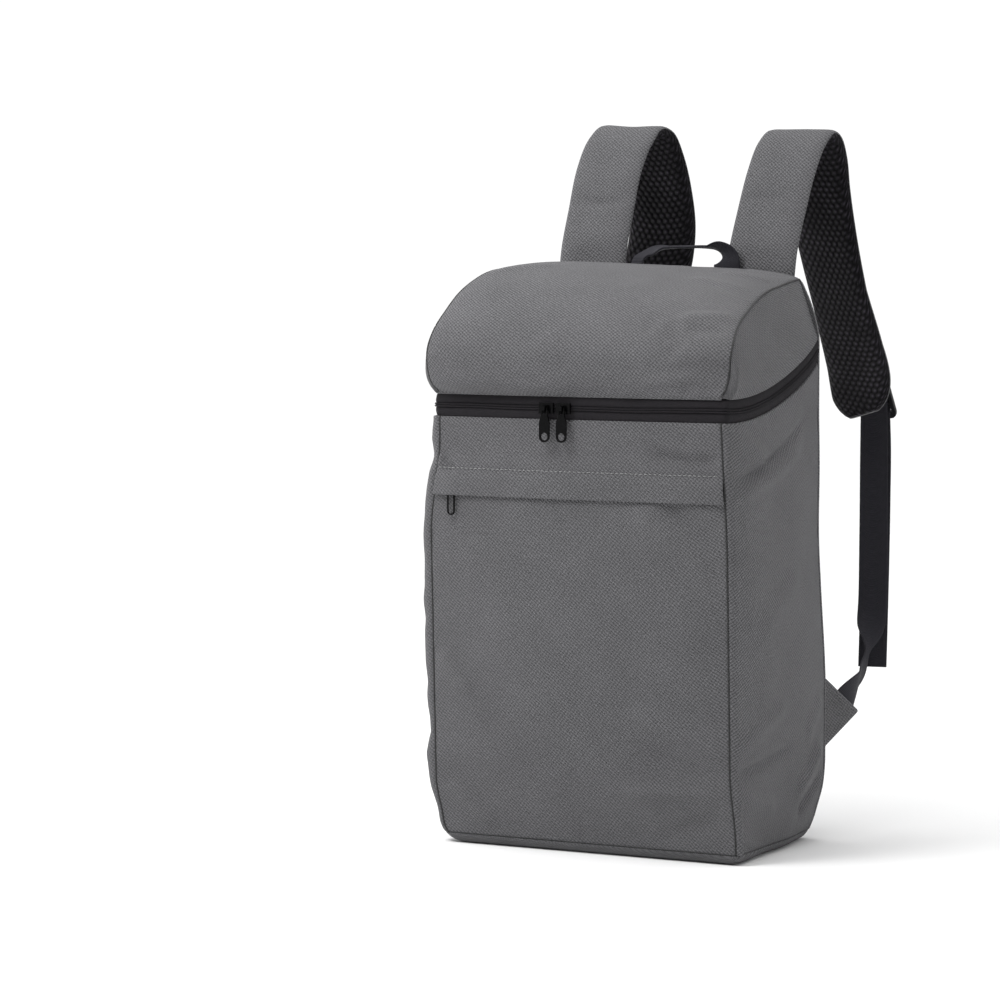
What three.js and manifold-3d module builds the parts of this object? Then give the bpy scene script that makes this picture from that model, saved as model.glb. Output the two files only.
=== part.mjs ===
// A cooler backpack: a tall box of padded cloth panels under a puffed lid with a wrap-round zip,
// a front pocket under a stitched flap, two padded shoulder straps with ladder lock buckles and
// webbing, and a carry handle. Millimetres, +Z up, the front faces -Y, and the origin is the
// middle of the base, on the surface that the bag stands on.

import * as THREE from 'three';
import Module from 'manifold-3d';
import { mergeVertices } from 'three/addons/utils/BufferGeometryUtils.js';

// Driving dimensions of the body

const BAG_WIDTH = 280;
const BAG_DEPTH = 170;
const ZIP_HEIGHT = 370;
const ZIP_RISE = 44;
const ZIP_RISE_POWER = 1.9;
const LID_RISE = 95;
const LID_TAPER = 17.5;
const LID_PUFF = 7;
const FRONT_LEAN = 14;
const FRONT_CROWN = 6;
const SIDE_CROWN = 4;
const WAIST_IN = 4;
const WAIST_START = 250;
const CORNER_RADIUS = 6;
const BASE_CORNER = 10;
const BASE_RIM = 8;
const WALL = 4;
const BACK_WALL = 6;
const CLOTH = 1.6;
const GAP = 0.3;

// The pocket on the front

const FLAP_STITCH = 318;
const FLAP_TALL = 23;
const FLAP_PROUD = 4.6;
const FLAP_LAP = 5;
const POCKET_PUFF = 3;
const POCKET_ZIP_SETBACK = 0.8;
const POCKET_SLIDER_X = -118;
const POCKET_SLIDER_RISE = 4;
const POCKET_SLIDER_SIZE = 0.66;

// The zips

const ZIP_BAND = 18;
const TAPE = 1.2;
const COIL_WIDTH = 3.2;
const COIL_THICK = 2;
const COIL_PROUD = 0.8;
const SLIDER_LONG = 13;
const SLIDER_TALL = 9;
const SLIDER_PLATE = 2;
const CROWN_WIDE = 3;
const CROWN_STOCK = 1.2;
const CROWN_WINDOW = 2.6;
const MAIN_SLIDER_X = { left: -24.5, right: -8.7 };
const MAIN_PULL = { long: 28, wide: 9.6, neck: 6, thick: 1.4, eye: 3.2, bar: 1.2 };
const POCKET_PULL = { long: 26, wide: 7.6, neck: 5.2, thick: 1, eye: 2.5, bar: 0.9 };

// The shoulder straps

const STRAP_WIDTH = 64;
const STRAP_CLOTH = 3.6;
const STRAP_PAD = 5;
const STRAP_SEAM_Z = 440;
const STRAP_RISE = 162;
const STRAP_SPREAD = 80;
const STRAP_REACH = 100;
const STRAP_END_TAPER = 26;

// Buckles, webbing and tabs

const WEBBING_WIDTH = 25;
const WEBBING = 1.3;
const BUCKLE_THICK = 3.5;
const BUCKLE_ARM = 3.6;
const BUCKLE_TILT = 35;
const BUCKLE_OUT = 143.5;
const BUCKLE_BEHIND = 90;
const BUCKLE_Z = 380;
const BUCKLE_BAR = 3;
const BUCKLE_LONG = 33;
const BUCKLE_LOOP_RADIUS = 3.7;
const LOOP_LONG = 16;
const LOOP_SHIFT = 9.5;
const LOOP_CLEAR = 3.8;
const LOAD_SLACK = 20;
const TAIL_OUT = 147;
const TAIL_BEHIND = 87;
const TAIL_END_Z = 138;
const TAB_LONG = 37;
const TAB_TOP = 137;
const TAB_TIP_Z = 106;
const TAB_BOTTOM = 78;
const TAB_TURN = 65.5;
const TAB_CLOTH = 2.4;
const TAB_OVERLAP = 9;
const TAB_SEWN_AT = 0.68;

// The carry handle

const HANDLE_WIDTH = 25;
const HANDLE_THICK = 2.4;
const HANDLE_LEFT_X = -39;
const HANDLE_RIGHT_X = 47;
const HANDLE_STANDOFF = 8;
const HANDLE_CREST = 17;

const FABRIC = { color: 0x69696b, roughness: 0.9, metalness: 0 };
const BLACK_CLOTH = { color: 0x1b1b1d, roughness: 0.85, metalness: 0 };
const BLACK_PLASTIC = { color: 0x101012, roughness: 0.45, metalness: 0 };
const BLACK_METAL = { color: 0x151517, roughness: 0.35, metalness: 0.8 };

const BACK_Y = BAG_DEPTH / 2;
const FLAP_EDGE = FLAP_STITCH - FLAP_TALL;
const POCKET_TOP = FLAP_EDGE + FLAP_LAP;
const UP = new THREE.Vector3(0, 0, 1);
const EPSILON = 0.01;
const wasm = await Module();
wasm.setup();

const bag = new THREE.Group();

function vec(x, y, z) {
  return new THREE.Vector3(x, y, z);
}

function mix(a, b, share) {
  return a + (b - a) * share;
}

function ease(share) {
  const t = Math.min(1, Math.max(0, share));
  return t * t * (3 - 2 * t);
}

function steps(from, to, count) {
  return Array.from({ length: count + 1 }, (_, k) => mix(from, to, k / count));
}

// Closed meshes

function closedGeometry(points, faces) {
  let volume = 0;
  for (let k = 0; k < faces.length; k += 3) {
    const [a, b, c] = [points[faces[k]], points[faces[k + 1]], points[faces[k + 2]]];
    volume += a.dot(b.clone().cross(c));
  }
  if (volume < 0) {
    faces.reverse();
  }
  const geometry = new THREE.BufferGeometry();
  geometry.setFromPoints(points);
  geometry.setIndex(faces);
  geometry.computeVertexNormals();
  return geometry;
}

// A sheet with a thickness: a grid of outer points, the same grid of inner points, and their rim
function sheetSolid(outer, inner) {
  const rows = outer.length;
  const columns = outer[0].length;
  const faces = [];
  const at = (row, column, layer) => layer * rows * columns + row * columns + column;
  const quad = (a, b, c, d) => faces.push(a, b, c, a, c, d);
  for (let r = 0; r + 1 < rows; r += 1) {
    for (let c = 0; c + 1 < columns; c += 1) {
      quad(at(r, c, 0), at(r, c + 1, 0), at(r + 1, c + 1, 0), at(r + 1, c, 0));
      quad(at(r, c, 1), at(r + 1, c, 1), at(r + 1, c + 1, 1), at(r, c + 1, 1));
    }
  }
  for (let c = 0; c + 1 < columns; c += 1) {
    quad(at(0, c + 1, 0), at(0, c, 0), at(0, c, 1), at(0, c + 1, 1));
    quad(at(rows - 1, c, 0), at(rows - 1, c + 1, 0), at(rows - 1, c + 1, 1), at(rows - 1, c, 1));
  }
  for (let r = 0; r + 1 < rows; r += 1) {
    quad(at(r, 0, 0), at(r + 1, 0, 0), at(r + 1, 0, 1), at(r, 0, 1));
    const edge = columns - 1;
    quad(at(r + 1, edge, 0), at(r, edge, 0), at(r, edge, 1), at(r + 1, edge, 1));
  }
  return closedGeometry([...outer.flat(), ...inner.flat()], faces);
}

// A solid through closed sections with the same number of points, with a cap at each end. Each
// quad is split along its shorter diagonal, so that layers which twist together stay parallel.
function loftSolid(sections) {
  const count = sections[0].length;
  const points = sections.flat();
  const faces = [];
  for (let s = 0; s + 1 < sections.length; s += 1) {
    for (let k = 0; k < count; k += 1) {
      const next = (k + 1) % count;
      const [a, b] = [s * count + k, s * count + next];
      if (points[b].distanceTo(points[a + count]) < points[a].distanceTo(points[b + count])) {
        faces.push(a, b, a + count, b, b + count, a + count);
      } else {
        faces.push(a, b, b + count, a, b + count, a + count);
      }
    }
  }
  const last = (sections.length - 1) * count;
  for (let k = 1; k + 1 < count; k += 1) {
    faces.push(0, k + 1, k);
    faces.push(last, last + k, last + k + 1);
  }
  return closedGeometry(points, faces);
}

function toManifold(geometry) {
  const bare = new THREE.BufferGeometry();
  bare.setAttribute('position', geometry.getAttribute('position'));
  bare.setIndex(geometry.getIndex());
  const merged = mergeVertices(bare, 1e-4);
  return new wasm.Manifold(new wasm.Mesh({
    numProp: 3,
    vertProperties: new Float32Array(merged.getAttribute('position').array),
    triVerts: new Uint32Array(merged.getIndex().array),
  }));
}

function joined(first, second) {
  const mesh = toManifold(first).add(toManifold(second)).getMesh();
  const geometry = new THREE.BufferGeometry();
  const places = new THREE.BufferAttribute(new Float32Array(mesh.vertProperties), 3);
  geometry.setAttribute('position', places);
  geometry.setIndex(Array.from(mesh.triVerts));
  geometry.computeVertexNormals();
  return geometry;
}

function addPart(name, geometry, look) {
  const mesh = new THREE.Mesh(geometry, new THREE.MeshStandardMaterial(look));
  mesh.name = name;
  bag.add(mesh);
  return mesh;
}

// The body's plan: two sides that turn round the front corners, and a crowned front

function halfWidth(z) {
  return BAG_WIDTH / 2 - WAIST_IN * ease((z - WAIST_START) / (ZIP_HEIGHT - WAIST_START));
}

function frontY(z) {
  return -BAG_DEPTH / 2 - FRONT_LEAN * z / ZIP_HEIGHT;
}

function crownShare(z) {
  return ease((z - BASE_RIM) / (ZIP_HEIGHT - BASE_RIM) * 2);
}

// travel runs from 0 at the back to 1 where the side ends, and to 2 round the front corner
function sidePoint(side, travel, z) {
  const wide = halfWidth(z);
  const cornerY = frontY(z) + CORNER_RADIUS;
  if (travel <= 1) {
    const bulge = SIDE_CROWN * (1 - (2 * travel - 1) ** 4) * crownShare(z);
    return vec(side * (wide + bulge), mix(BACK_Y - BACK_WALL - GAP, cornerY, travel), z);
  }
  const angle = (travel - 1) * Math.PI / 2;
  const x = wide - CORNER_RADIUS + CORNER_RADIUS * Math.cos(angle);
  return vec(side * x, cornerY - CORNER_RADIUS * Math.sin(angle), z);
}

// share runs from -1 at the left corner seam to 1 at the right one
function frontPoint(share, z) {
  const x = share * (halfWidth(z) - CORNER_RADIUS);
  return vec(x, frontY(z) - FRONT_CROWN * (1 - share * share) * crownShare(z), z);
}

// A station is one place on the way round: on a side (-1 or 1) or on the front (0)
function stationPoint(station, z) {
  return station.side === 0 ? frontPoint(station.along, z) : sidePoint(station.side, station.along, z);
}

function stationNormal(station, z) {
  const ahead = stationPoint({ side: station.side, along: station.along + EPSILON }, z);
  const behind = stationPoint({ side: station.side, along: station.along - EPSILON }, z);
  const normal = ahead.sub(behind).cross(UP).normalize();
  const outward = station.side === 0 ? -normal.y : station.side * normal.x - normal.y * (station.along - 1);
  return outward < 0 ? normal.negate() : normal;
}

const SEAM_TRIM = GAP / 2 / CORNER_RADIUS * 2 / Math.PI;
const SIDE_STATIONS = [0, 0.08, 0.2, 0.32, 0.44, 0.56, 0.68, 0.8, 0.92, 1, 1.33, 1.67];
const FRONT_STEPS = 12;

function sideStations(side) {
  return [...SIDE_STATIONS, 2 - SEAM_TRIM].map((along) => ({ side, along }));
}

function frontStations(count) {
  const edge = 1 - GAP / 2 / (BAG_WIDTH / 2);
  return steps(-edge, edge, count).map((along) => ({ side: 0, along }));
}

const ROUND_STATIONS = [
  ...SIDE_STATIONS.map((along) => ({ side: -1, along })),
  ...frontStations(FRONT_STEPS),
  ...SIDE_STATIONS.map((along) => ({ side: 1, along })).reverse(),
];

// The zip line is level on the front and climbs to the back on both sides
function zipHeight(station) {
  const back = station.side === 0 ? 0 : Math.max(0, 1 - station.along);
  return ZIP_HEIGHT + ZIP_RISE * back ** ZIP_RISE_POWER;
}

function zipSlope(station) {
  const back = station.side === 0 ? 0 : Math.max(0, 1 - station.along);
  const run = BAG_DEPTH + FRONT_LEAN;
  return ZIP_RISE * ZIP_RISE_POWER * back ** (ZIP_RISE_POWER - 1) / run;
}

function zipOffset(station, distance) {
  return zipHeight(station) + distance * Math.hypot(1, zipSlope(station));
}

// A wall panel round some stations: each row has a height, and how far its two faces stand out
function wallPanel(stations, rows) {
  const face = (key) => rows.map((row) => stations.map((station) => {
    const z = row.height(station);
    return stationPoint(station, z).addScaledVector(stationNormal(station, z), row[key](station));
  }));
  return sheetSolid(face('outer'), face('inner'));
}

function evenRows(count, bottom, top, outer, thickness) {
  return steps(0, 1, count).map((share) => ({
    height: (station) => mix(bottom(station), top(station), share),
    outer: (station) => outer(station, share),
    inner: (station) => outer(station, share) - thickness,
  }));
}

const flush = () => 0;
const baseLine = () => BASE_RIM + GAP;
const belowBand = (station) => zipOffset(station, -ZIP_BAND / 2 - GAP);

for (const [name, side] of [['side_panel_left', -1], ['side_panel_right', 1]]) {
  addPart(name, wallPanel(sideStations(side), evenRows(8, baseLine, belowBand, flush, WALL)), FABRIC);
}

// The front: a wall behind the pocket, the pocket's cloth, and the upper panel with its flap

const POCKET_ZIP_FACE = -CLOTH - POCKET_ZIP_SETBACK;
const POCKET_BACK = POCKET_ZIP_FACE - TAPE - 2 * GAP;
const pocketPuff = (station, share) => POCKET_PUFF * Math.sin(Math.PI * share) * (1 - station.along ** 4);

addPart('front_wall', wallPanel(
  frontStations(8),
  evenRows(5, baseLine, () => FLAP_STITCH - 2 * GAP, () => POCKET_BACK, WALL),
), FABRIC);

addPart('pocket_panel', wallPanel(
  frontStations(FRONT_STEPS),
  evenRows(8, baseLine, () => POCKET_TOP, pocketPuff, CLOTH),
), FABRIC);

// Rows of the flap up to its stitch, and of the panel from the stitch up to the zip
const FLAP_ROWS = [
  { up: 0, proud: 1 },
  { up: 0.45, proud: 1 },
  { up: 0.8, proud: 0.82 },
  { up: 1, proud: 0.5 },
];
const UPPER_ROWS = [
  { up: 0, proud: 0.48 },
  { up: 0.13, proud: 0.1 },
  { up: 0.32, proud: 0 },
  { up: 1, proud: 0 },
];

function upperPanelRows() {
  const row = (height, proud, thickness) => ({
    height,
    outer: () => proud * FLAP_PROUD,
    inner: () => proud * FLAP_PROUD - thickness,
  });
  return [
    ...FLAP_ROWS.map(({ up, proud }) => row(() => mix(FLAP_EDGE, FLAP_STITCH, up), proud, CLOTH)),
    ...UPPER_ROWS.map(({ up, proud }) => row(
      (station) => mix(FLAP_STITCH + GAP, belowBand(station), up),
      proud,
      WALL,
    )),
  ];
}

addPart('front_upper_panel', wallPanel(frontStations(FRONT_STEPS), upperPanelRows()), FABRIC);

addPart('pocket_zip', wallPanel(
  frontStations(8),
  evenRows(1, () => POCKET_TOP + GAP, () => FLAP_STITCH - 2 * GAP, () => POCKET_ZIP_FACE, TAPE),
), BLACK_CLOTH);

// The base is a tray: a flat bottom and an edge that turns up to the wall panels

function planLoop(inset) {
  const wide = halfWidth(BASE_RIM) - inset;
  const [near, far] = [frontY(BASE_RIM) + inset, BACK_Y - inset];
  const corners = [
    { x: wide, y: near, from: -90 },
    { x: wide, y: far, from: 0 },
    { x: -wide, y: far, from: 90 },
    { x: -wide, y: near, from: 180 },
  ];
  return corners.flatMap(({ x, y, from }) => steps(from, from + 90, 4).map((degrees) => {
    const angle = THREE.MathUtils.degToRad(degrees);
    const [cx, cy] = [x - Math.sign(x) * BASE_CORNER, y - Math.sign(y) * BASE_CORNER];
    return { x: cx + BASE_CORNER * Math.cos(angle), y: cy + BASE_CORNER * Math.sin(angle) };
  }));
}

function trayRing(radius, degrees) {
  const angle = THREE.MathUtils.degToRad(degrees);
  const inset = BASE_RIM - radius * Math.sin(angle);
  return planLoop(inset).map(({ x, y }) => vec(x, y, BASE_RIM - radius * Math.cos(angle)));
}

addPart('base_panel', loftSolid([
  ...[0, 30, 60, 90].map((degrees) => trayRing(BASE_RIM, degrees)),
  ...[90, 45, 0].map((degrees) => trayRing(BASE_RIM - WALL, degrees)),
]), FABRIC);

// The lid: seam rows as shares of the depth forward of the back, of the lid's rise and of its taper

const LID_LEFT_SEAM = [
  { forward: 1.0, rise: 0, taper: 0.34 },
  { forward: 1.0, rise: 0.03, taper: 0.28 },
  { forward: 1.04, rise: 0.1, taper: 0.14 },
  { forward: 1.065, rise: 0.24, taper: 0.06 },
  { forward: 1.065, rise: 0.4, taper: 0.06 },
  { forward: 1.025, rise: 0.57, taper: 0.2 },
  { forward: 0.955, rise: 0.72, taper: 0.4 },
  { forward: 0.86, rise: 0.88, taper: 0.62 },
  { forward: 0.73, rise: 1.0, taper: 0.8 },
  { forward: 0.59, rise: 1.07, taper: 0.9 },
  { forward: 0.3, rise: 1.09, taper: 0.96 },
  { forward: 0, rise: 1.07, taper: 1 },
];

const LID_RIGHT_SEAM = [
  { forward: 1.0, rise: 0, taper: 0.34 },
  { forward: 1.0, rise: 0.03, taper: 0.3 },
  { forward: 0.975, rise: 0.1, taper: 0.2 },
  { forward: 0.95, rise: 0.24, taper: 0.14 },
  { forward: 0.945, rise: 0.36, taper: 0.12 },
  { forward: 0.92, rise: 0.46, taper: 0.14 },
  { forward: 0.82, rise: 0.62, taper: 0.34 },
  { forward: 0.63, rise: 0.775, taper: 0.6 },
  { forward: 0.41, rise: 0.9, taper: 0.83 },
  { forward: 0.24, rise: 0.95, taper: 0.89 },
  { forward: 0.1, rise: 0.985, taper: 0.95 },
  { forward: 0, rise: 1.0, taper: 1 },
];

const LID_BASE = ZIP_HEIGHT + ZIP_BAND / 2 + GAP;
const LID_BACK_Y = BACK_Y - BACK_WALL - GAP;
const LID_DEPTH = LID_BACK_Y - frontY(LID_BASE);

function lidSeamCurve(rows, side) {
  return new THREE.CatmullRomCurve3(rows.map(({ forward, rise, taper }) => vec(
    side * (halfWidth(LID_BASE) - LID_TAPER * taper),
    LID_BACK_Y - LID_DEPTH * forward,
    LID_BASE + LID_RISE * rise,
  )));
}

const LID_SEAMS = {
  left: lidSeamCurve(LID_LEFT_SEAM, -1),
  right: lidSeamCurve(LID_RIGHT_SEAM, 1),
};

// across runs from -1 at the left seam to 1 at the right one, along from the zip to the back
function lidPoint(across, along) {
  const left = LID_SEAMS.left.getPoint(along);
  const right = LID_SEAMS.right.getPoint(along);
  const point = left.clone().lerp(right, (across + 1) / 2);
  const tangent = LID_SEAMS.left.getTangent(along)
    .lerp(LID_SEAMS.right.getTangent(along), (across + 1) / 2);
  const normal = vec(0, -tangent.z, tangent.y).normalize();
  const swell = LID_PUFF * (1 - across ** 6) * ease(along * 4);
  point.addScaledVector(normal, swell);
  point.y -= FRONT_CROWN * (1 - across * across) * (1 - ease(along * 1.6));
  return point;
}

function lidNormal(across, along) {
  const [a, b] = [Math.min(along + EPSILON, 1), Math.max(along - EPSILON, 0)];
  const down = lidPoint(across, a).sub(lidPoint(across, b));
  const over = lidPoint(across + EPSILON, along).sub(lidPoint(across - EPSILON, along));
  const normal = over.cross(down).normalize();
  return along === 0 ? vec(normal.x, normal.y, 0).normalize() : normal;
}

const LID_ALONG = [0, 0.05, 0.12, 0.2, 0.28, 0.37, 0.46, 0.55, 0.65, 0.76, 0.88, 1];
const LID_ACROSS = [-1, -0.93, -0.8, -0.6, -0.4, -0.2, 0, 0.2, 0.4, 0.6, 0.8, 0.93, 1];

function lidPanel() {
  const mitre = 1 - WALL / halfWidth(LID_BASE);
  const outer = LID_ALONG.map((along) => LID_ACROSS.map((across) => lidPoint(across, along)));
  const inner = LID_ALONG.map((along) => LID_ACROSS.map((across) => {
    const place = across * mitre;
    const point = lidPoint(place, along).addScaledVector(lidNormal(place, along), -WALL);
    point.z = Math.max(point.z, LID_BASE);
    point.y = Math.min(point.y, LID_BACK_Y);
    return point;
  }));
  return sheetSolid(outer, inner);
}

addPart('lid_panel', lidPanel(), FABRIC);

// A lid side fills the space between the zip band and the lid's seam, mitred under the seam
const LID_SIDE_ALONG = LID_ALONG.slice(1);
const LID_SIDE_BULGE = 5;
const LID_SIDE_ROWS = 4;

function lidSideTop(curve, along, depth) {
  const point = curve.getPoint(along);
  const tangent = curve.getTangent(along);
  const inward = vec(0, tangent.z, -tangent.y).normalize();
  point.addScaledVector(inward, depth);
  point.y = Math.min(point.y, LID_BACK_Y);
  return point;
}

function lidSideFoot(side, top) {
  const run = LID_BACK_Y - (frontY(ZIP_HEIGHT) + CORNER_RADIUS);
  const along = Math.min(1, Math.max(0, (LID_BACK_Y - top.y) / run));
  const station = { side, along };
  return stationPoint(station, zipOffset(station, ZIP_BAND / 2 + GAP));
}

function lidSide(side, curve) {
  const face = (depth, setback) => steps(0, 1, LID_SIDE_ROWS).map((share) => LID_SIDE_ALONG.map((along) => {
    const top = lidSideTop(curve, along, depth);
    const foot = lidSideFoot(side, top);
    const point = foot.clone().lerp(top, share);
    const tall = top.z - foot.z;
    const bulge = LID_SIDE_BULGE * Math.sin(Math.PI * share) * ease(tall / LID_RISE * 3);
    point.x += side * (bulge * ease((1 - along) * 5) - setback);
    return point;
  }));
  return sheetSolid(face(GAP * 1.4, 0), face(WALL + GAP * 1.4, WALL));
}

addPart('lid_side_left', lidSide(-1, LID_SEAMS.left), FABRIC);
addPart('lid_side_right', lidSide(1, LID_SEAMS.right), FABRIC);

// The back panel closes the box and the lid from behind

const BACK_ACROSS = [-1, -0.8, -0.4, 0, 0.4, 0.8, 1];
const BACK_UP = [0, 0.35, 0.7, 0.86, 0.93, 0.97, 1];

function backHalfWidth(z) {
  const zipBack = ZIP_HEIGHT + ZIP_RISE + ZIP_BAND / 2;
  const top = LID_BASE + LID_RISE;
  const share = Math.max(0, (z - zipBack) / (top - zipBack));
  return halfWidth(z) - LID_TAPER * Math.min(1, share) ** 1.6;
}

function backPanel() {
  const face = (y) => BACK_UP.map((share) => BACK_ACROSS.map((across) => {
    const z = mix(baseLine(), lidPoint(across, 1).z, share);
    return vec(across * backHalfWidth(z), y, z);
  }));
  return sheetSolid(face(BACK_Y), face(BACK_Y - BACK_WALL));
}

addPart('back_panel', backPanel(), FABRIC);

// The main zip: two tapes and the coil between them, all the way round from back to back

function zipStrip(from, to, outer, thickness) {
  const bottom = (station) => zipOffset(station, from);
  const top = (station) => zipOffset(station, to);
  return wallPanel(ROUND_STATIONS, evenRows(1, bottom, top, () => outer, thickness));
}

const COIL_HALF = COIL_WIDTH / 2;
const TAPE_SETBACK = -0.4;
const BAND_HALF = ZIP_BAND / 2;
addPart('main_zip_lower_tape', zipStrip(-BAND_HALF, -COIL_HALF - GAP, TAPE_SETBACK, TAPE), BLACK_CLOTH);
addPart('main_zip_upper_tape', zipStrip(COIL_HALF + GAP, BAND_HALF, TAPE_SETBACK, TAPE), BLACK_CLOTH);
addPart('main_zip_coil', zipStrip(-COIL_HALF, COIL_HALF, COIL_PROUD, COIL_THICK), BLACK_PLASTIC);

// A slider is a plate with a crown, and its pull hangs in the crown's window

const CROWN_TALL = CROWN_WINDOW + 2 * CROWN_STOCK;

function sliderGeometry(size) {
  const plate = new THREE.BoxGeometry(SLIDER_LONG * size, SLIDER_PLATE * size, SLIDER_TALL * size);
  plate.translate(0, -SLIDER_PLATE * size / 2, 0);
  const crown = new THREE.Shape();
  const [reach, half] = [CROWN_TALL * size, CROWN_TALL * size / 2];
  crown.moveTo(-half, -SLIDER_PLATE * size / 2);
  crown.lineTo(half, -SLIDER_PLATE * size / 2);
  crown.lineTo(half, reach * 0.7);
  crown.lineTo(half * 0.6, reach);
  crown.lineTo(-half * 0.6, reach);
  crown.lineTo(-half, reach * 0.7);
  crown.closePath();
  const window = new THREE.Path();
  const inside = CROWN_WINDOW * size / 2;
  window.absarc(0, reach - inside - CROWN_STOCK * size, inside, 0, 2 * Math.PI, true);
  crown.holes.push(window);
  const depth = CROWN_WIDE * size;
  const arch = new THREE.ExtrudeGeometry(crown, { depth, bevelEnabled: false, curveSegments: 4 });
  arch.translate(0, 0, -depth / 2);
  arch.applyMatrix4(new THREE.Matrix4().makeBasis(vec(0, 0, 1), vec(0, -1, 0), vec(1, 0, 0)));
  arch.translate(0, -SLIDER_PLATE * size, 0);
  return joined(plate, arch);
}

// The pull's own origin is on its hinge axis, and it hangs down from there
function pullGeometry({ long, wide, neck, thick, eye, bar }, size) {
  const top = bar / 2;
  const eyeY = -long + wide / 2;
  const shape = new THREE.Shape();
  shape.moveTo(neck / 2, top);
  shape.lineTo(-neck / 2, top);
  shape.lineTo(-neck / 2, -long * 0.2);
  shape.lineTo(-wide / 2, -long * 0.42);
  shape.absarc(0, eyeY, wide / 2, Math.PI, 2 * Math.PI, false);
  shape.lineTo(wide / 2, -long * 0.42);
  shape.lineTo(neck / 2, -long * 0.2);
  shape.closePath();
  const slotHalf = CROWN_WIDE * size / 2 + GAP;
  const slotFoot = -top - CROWN_TALL * size * 0.85;
  const slot = new THREE.Path();
  slot.moveTo(-slotHalf, -top);
  slot.lineTo(-slotHalf, slotFoot);
  slot.lineTo(slotHalf, slotFoot);
  slot.lineTo(slotHalf, -top);
  slot.closePath();
  const hole = new THREE.Path();
  hole.absarc(0, eyeY, eye, 0, 2 * Math.PI, true);
  shape.holes.push(slot, hole);
  const solid = { depth: thick, bevelEnabled: false, curveSegments: 6 };
  const geometry = new THREE.ExtrudeGeometry(shape, solid);
  geometry.translate(0, 0, -thick / 2);
  return geometry.rotateX(Math.PI / 2);
}

function addZipPull(prefix, at, size, pull) {
  addPart(`${prefix}_slider`, sliderGeometry(size), BLACK_METAL).position.copy(at);
  const axisOut = (SLIDER_PLATE + CROWN_TALL - CROWN_STOCK - CROWN_WINDOW / 2) * size;
  const hung = addPart(`${prefix}_pull`, pullGeometry(pull, size), BLACK_METAL);
  hung.position.set(at.x, at.y - axisOut, at.z);
}

function frontAt(x, z, proud) {
  const face = frontPoint(x / (halfWidth(z) - CORNER_RADIUS), z);
  face.y -= proud;
  return face;
}

for (const [hand, x] of Object.entries(MAIN_SLIDER_X)) {
  addZipPull(`main_${hand}`, frontAt(x, ZIP_HEIGHT, COIL_PROUD + 2 * GAP), 1, MAIN_PULL);
}

const pocketSliderProud = GAP + POCKET_ZIP_FACE;
const pocketSliderZ = POCKET_TOP + POCKET_SLIDER_RISE;
const pocketSliderAt = frontAt(POCKET_SLIDER_X, pocketSliderZ, pocketSliderProud);
addZipPull('pocket', pocketSliderAt, POCKET_SLIDER_SIZE, POCKET_PULL);

// The shoulder straps: route rows as shares of the spread, the reach behind the bag and the rise

const STRAP_TABLES = {
  left: [
    { out: 1.06, back: 0.0, up: 0.0, yaw: 0 },
    { out: 1.06, back: 0.028, up: 0.14, yaw: 0 },
    { out: 1.07, back: 0.045, up: 0.25, yaw: 0 },
    { out: 1.075, back: 0.09, up: 0.37, yaw: 0 },
    { out: 1.075, back: 0.22, up: 0.57, yaw: 0 },
    { out: 1.07, back: 0.36, up: 0.78, yaw: 0 },
    { out: 1.02, back: 0.49, up: 0.93, yaw: 0 },
    { out: 0.96, back: 0.63, up: 1.0, yaw: 0 },
    { out: 0.92, back: 0.77, up: 0.97, yaw: 0 },
    { out: 0.88, back: 0.88, up: 0.86, yaw: 0 },
    { out: 0.84, back: 0.98, up: 0.67, yaw: 0 },
    { out: 0.83, back: 1.03, up: 0.45, yaw: 2 },
    { out: 0.92, back: 1.02, up: 0.22, yaw: 6 },
    { out: 1.14, back: 0.98, up: 0.02, yaw: 11 },
    { out: 1.42, back: 0.91, up: -0.14, yaw: 15 },
    { out: 1.61, back: 0.83, up: -0.25, yaw: 17 },
    { out: 1.735, back: 0.75, up: -0.38, yaw: 16 },
    { out: 1.8, back: 0.7, up: -0.51, yaw: 15 },
  ],
  right: [
    { out: 0.925, back: 0.0, up: 0.0, yaw: 0 },
    { out: 0.935, back: 0.028, up: 0.14, yaw: 0 },
    { out: 0.945, back: 0.045, up: 0.25, yaw: 0 },
    { out: 0.95, back: 0.09, up: 0.37, yaw: 0 },
    { out: 0.97, back: 0.22, up: 0.57, yaw: 0 },
    { out: 1.0, back: 0.36, up: 0.77, yaw: 0 },
    { out: 1.04, back: 0.49, up: 0.91, yaw: 0 },
    { out: 1.08, back: 0.63, up: 0.975, yaw: 1 },
    { out: 1.09, back: 0.77, up: 0.945, yaw: 3 },
    { out: 1.1, back: 0.87, up: 0.845, yaw: 5 },
    { out: 1.11, back: 0.94, up: 0.68, yaw: 8 },
    { out: 1.18, back: 0.97, up: 0.45, yaw: 12 },
    { out: 1.375, back: 0.95, up: 0.08, yaw: 20 },
    { out: 1.61, back: 0.84, up: -0.22, yaw: 18 },
    { out: 1.735, back: 0.75, up: -0.38, yaw: 16 },
    { out: 1.8, back: 0.7, up: -0.51, yaw: 15 },
  ],
};

const STRAP_BACK = BACK_Y + GAP + STRAP_CLOTH;
const BAND_EDGE = 2;

// A band follows rows of a point and of a direction across the band
function bandRoute(rows) {
  const curve = new THREE.CatmullRomCurve3(rows.map(({ point }) => point));
  const acrossAt = (share) => {
    const place = share * (rows.length - 1);
    const row = Math.min(rows.length - 2, Math.floor(place));
    return rows[row].across.clone().lerp(rows[row + 1].across, place - row);
  };
  return { curve, acrossAt };
}

// The frame at one place: across the band, and out through its outer face
function bandFrame({ curve, acrossAt }, share) {
  const point = curve.getPoint(share);
  const along = curve.getTangent(share);
  const across = acrossAt(share);
  across.addScaledVector(along, -across.dot(along)).normalize();
  return { point, across, face: across.clone().cross(along).normalize() };
}

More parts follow.
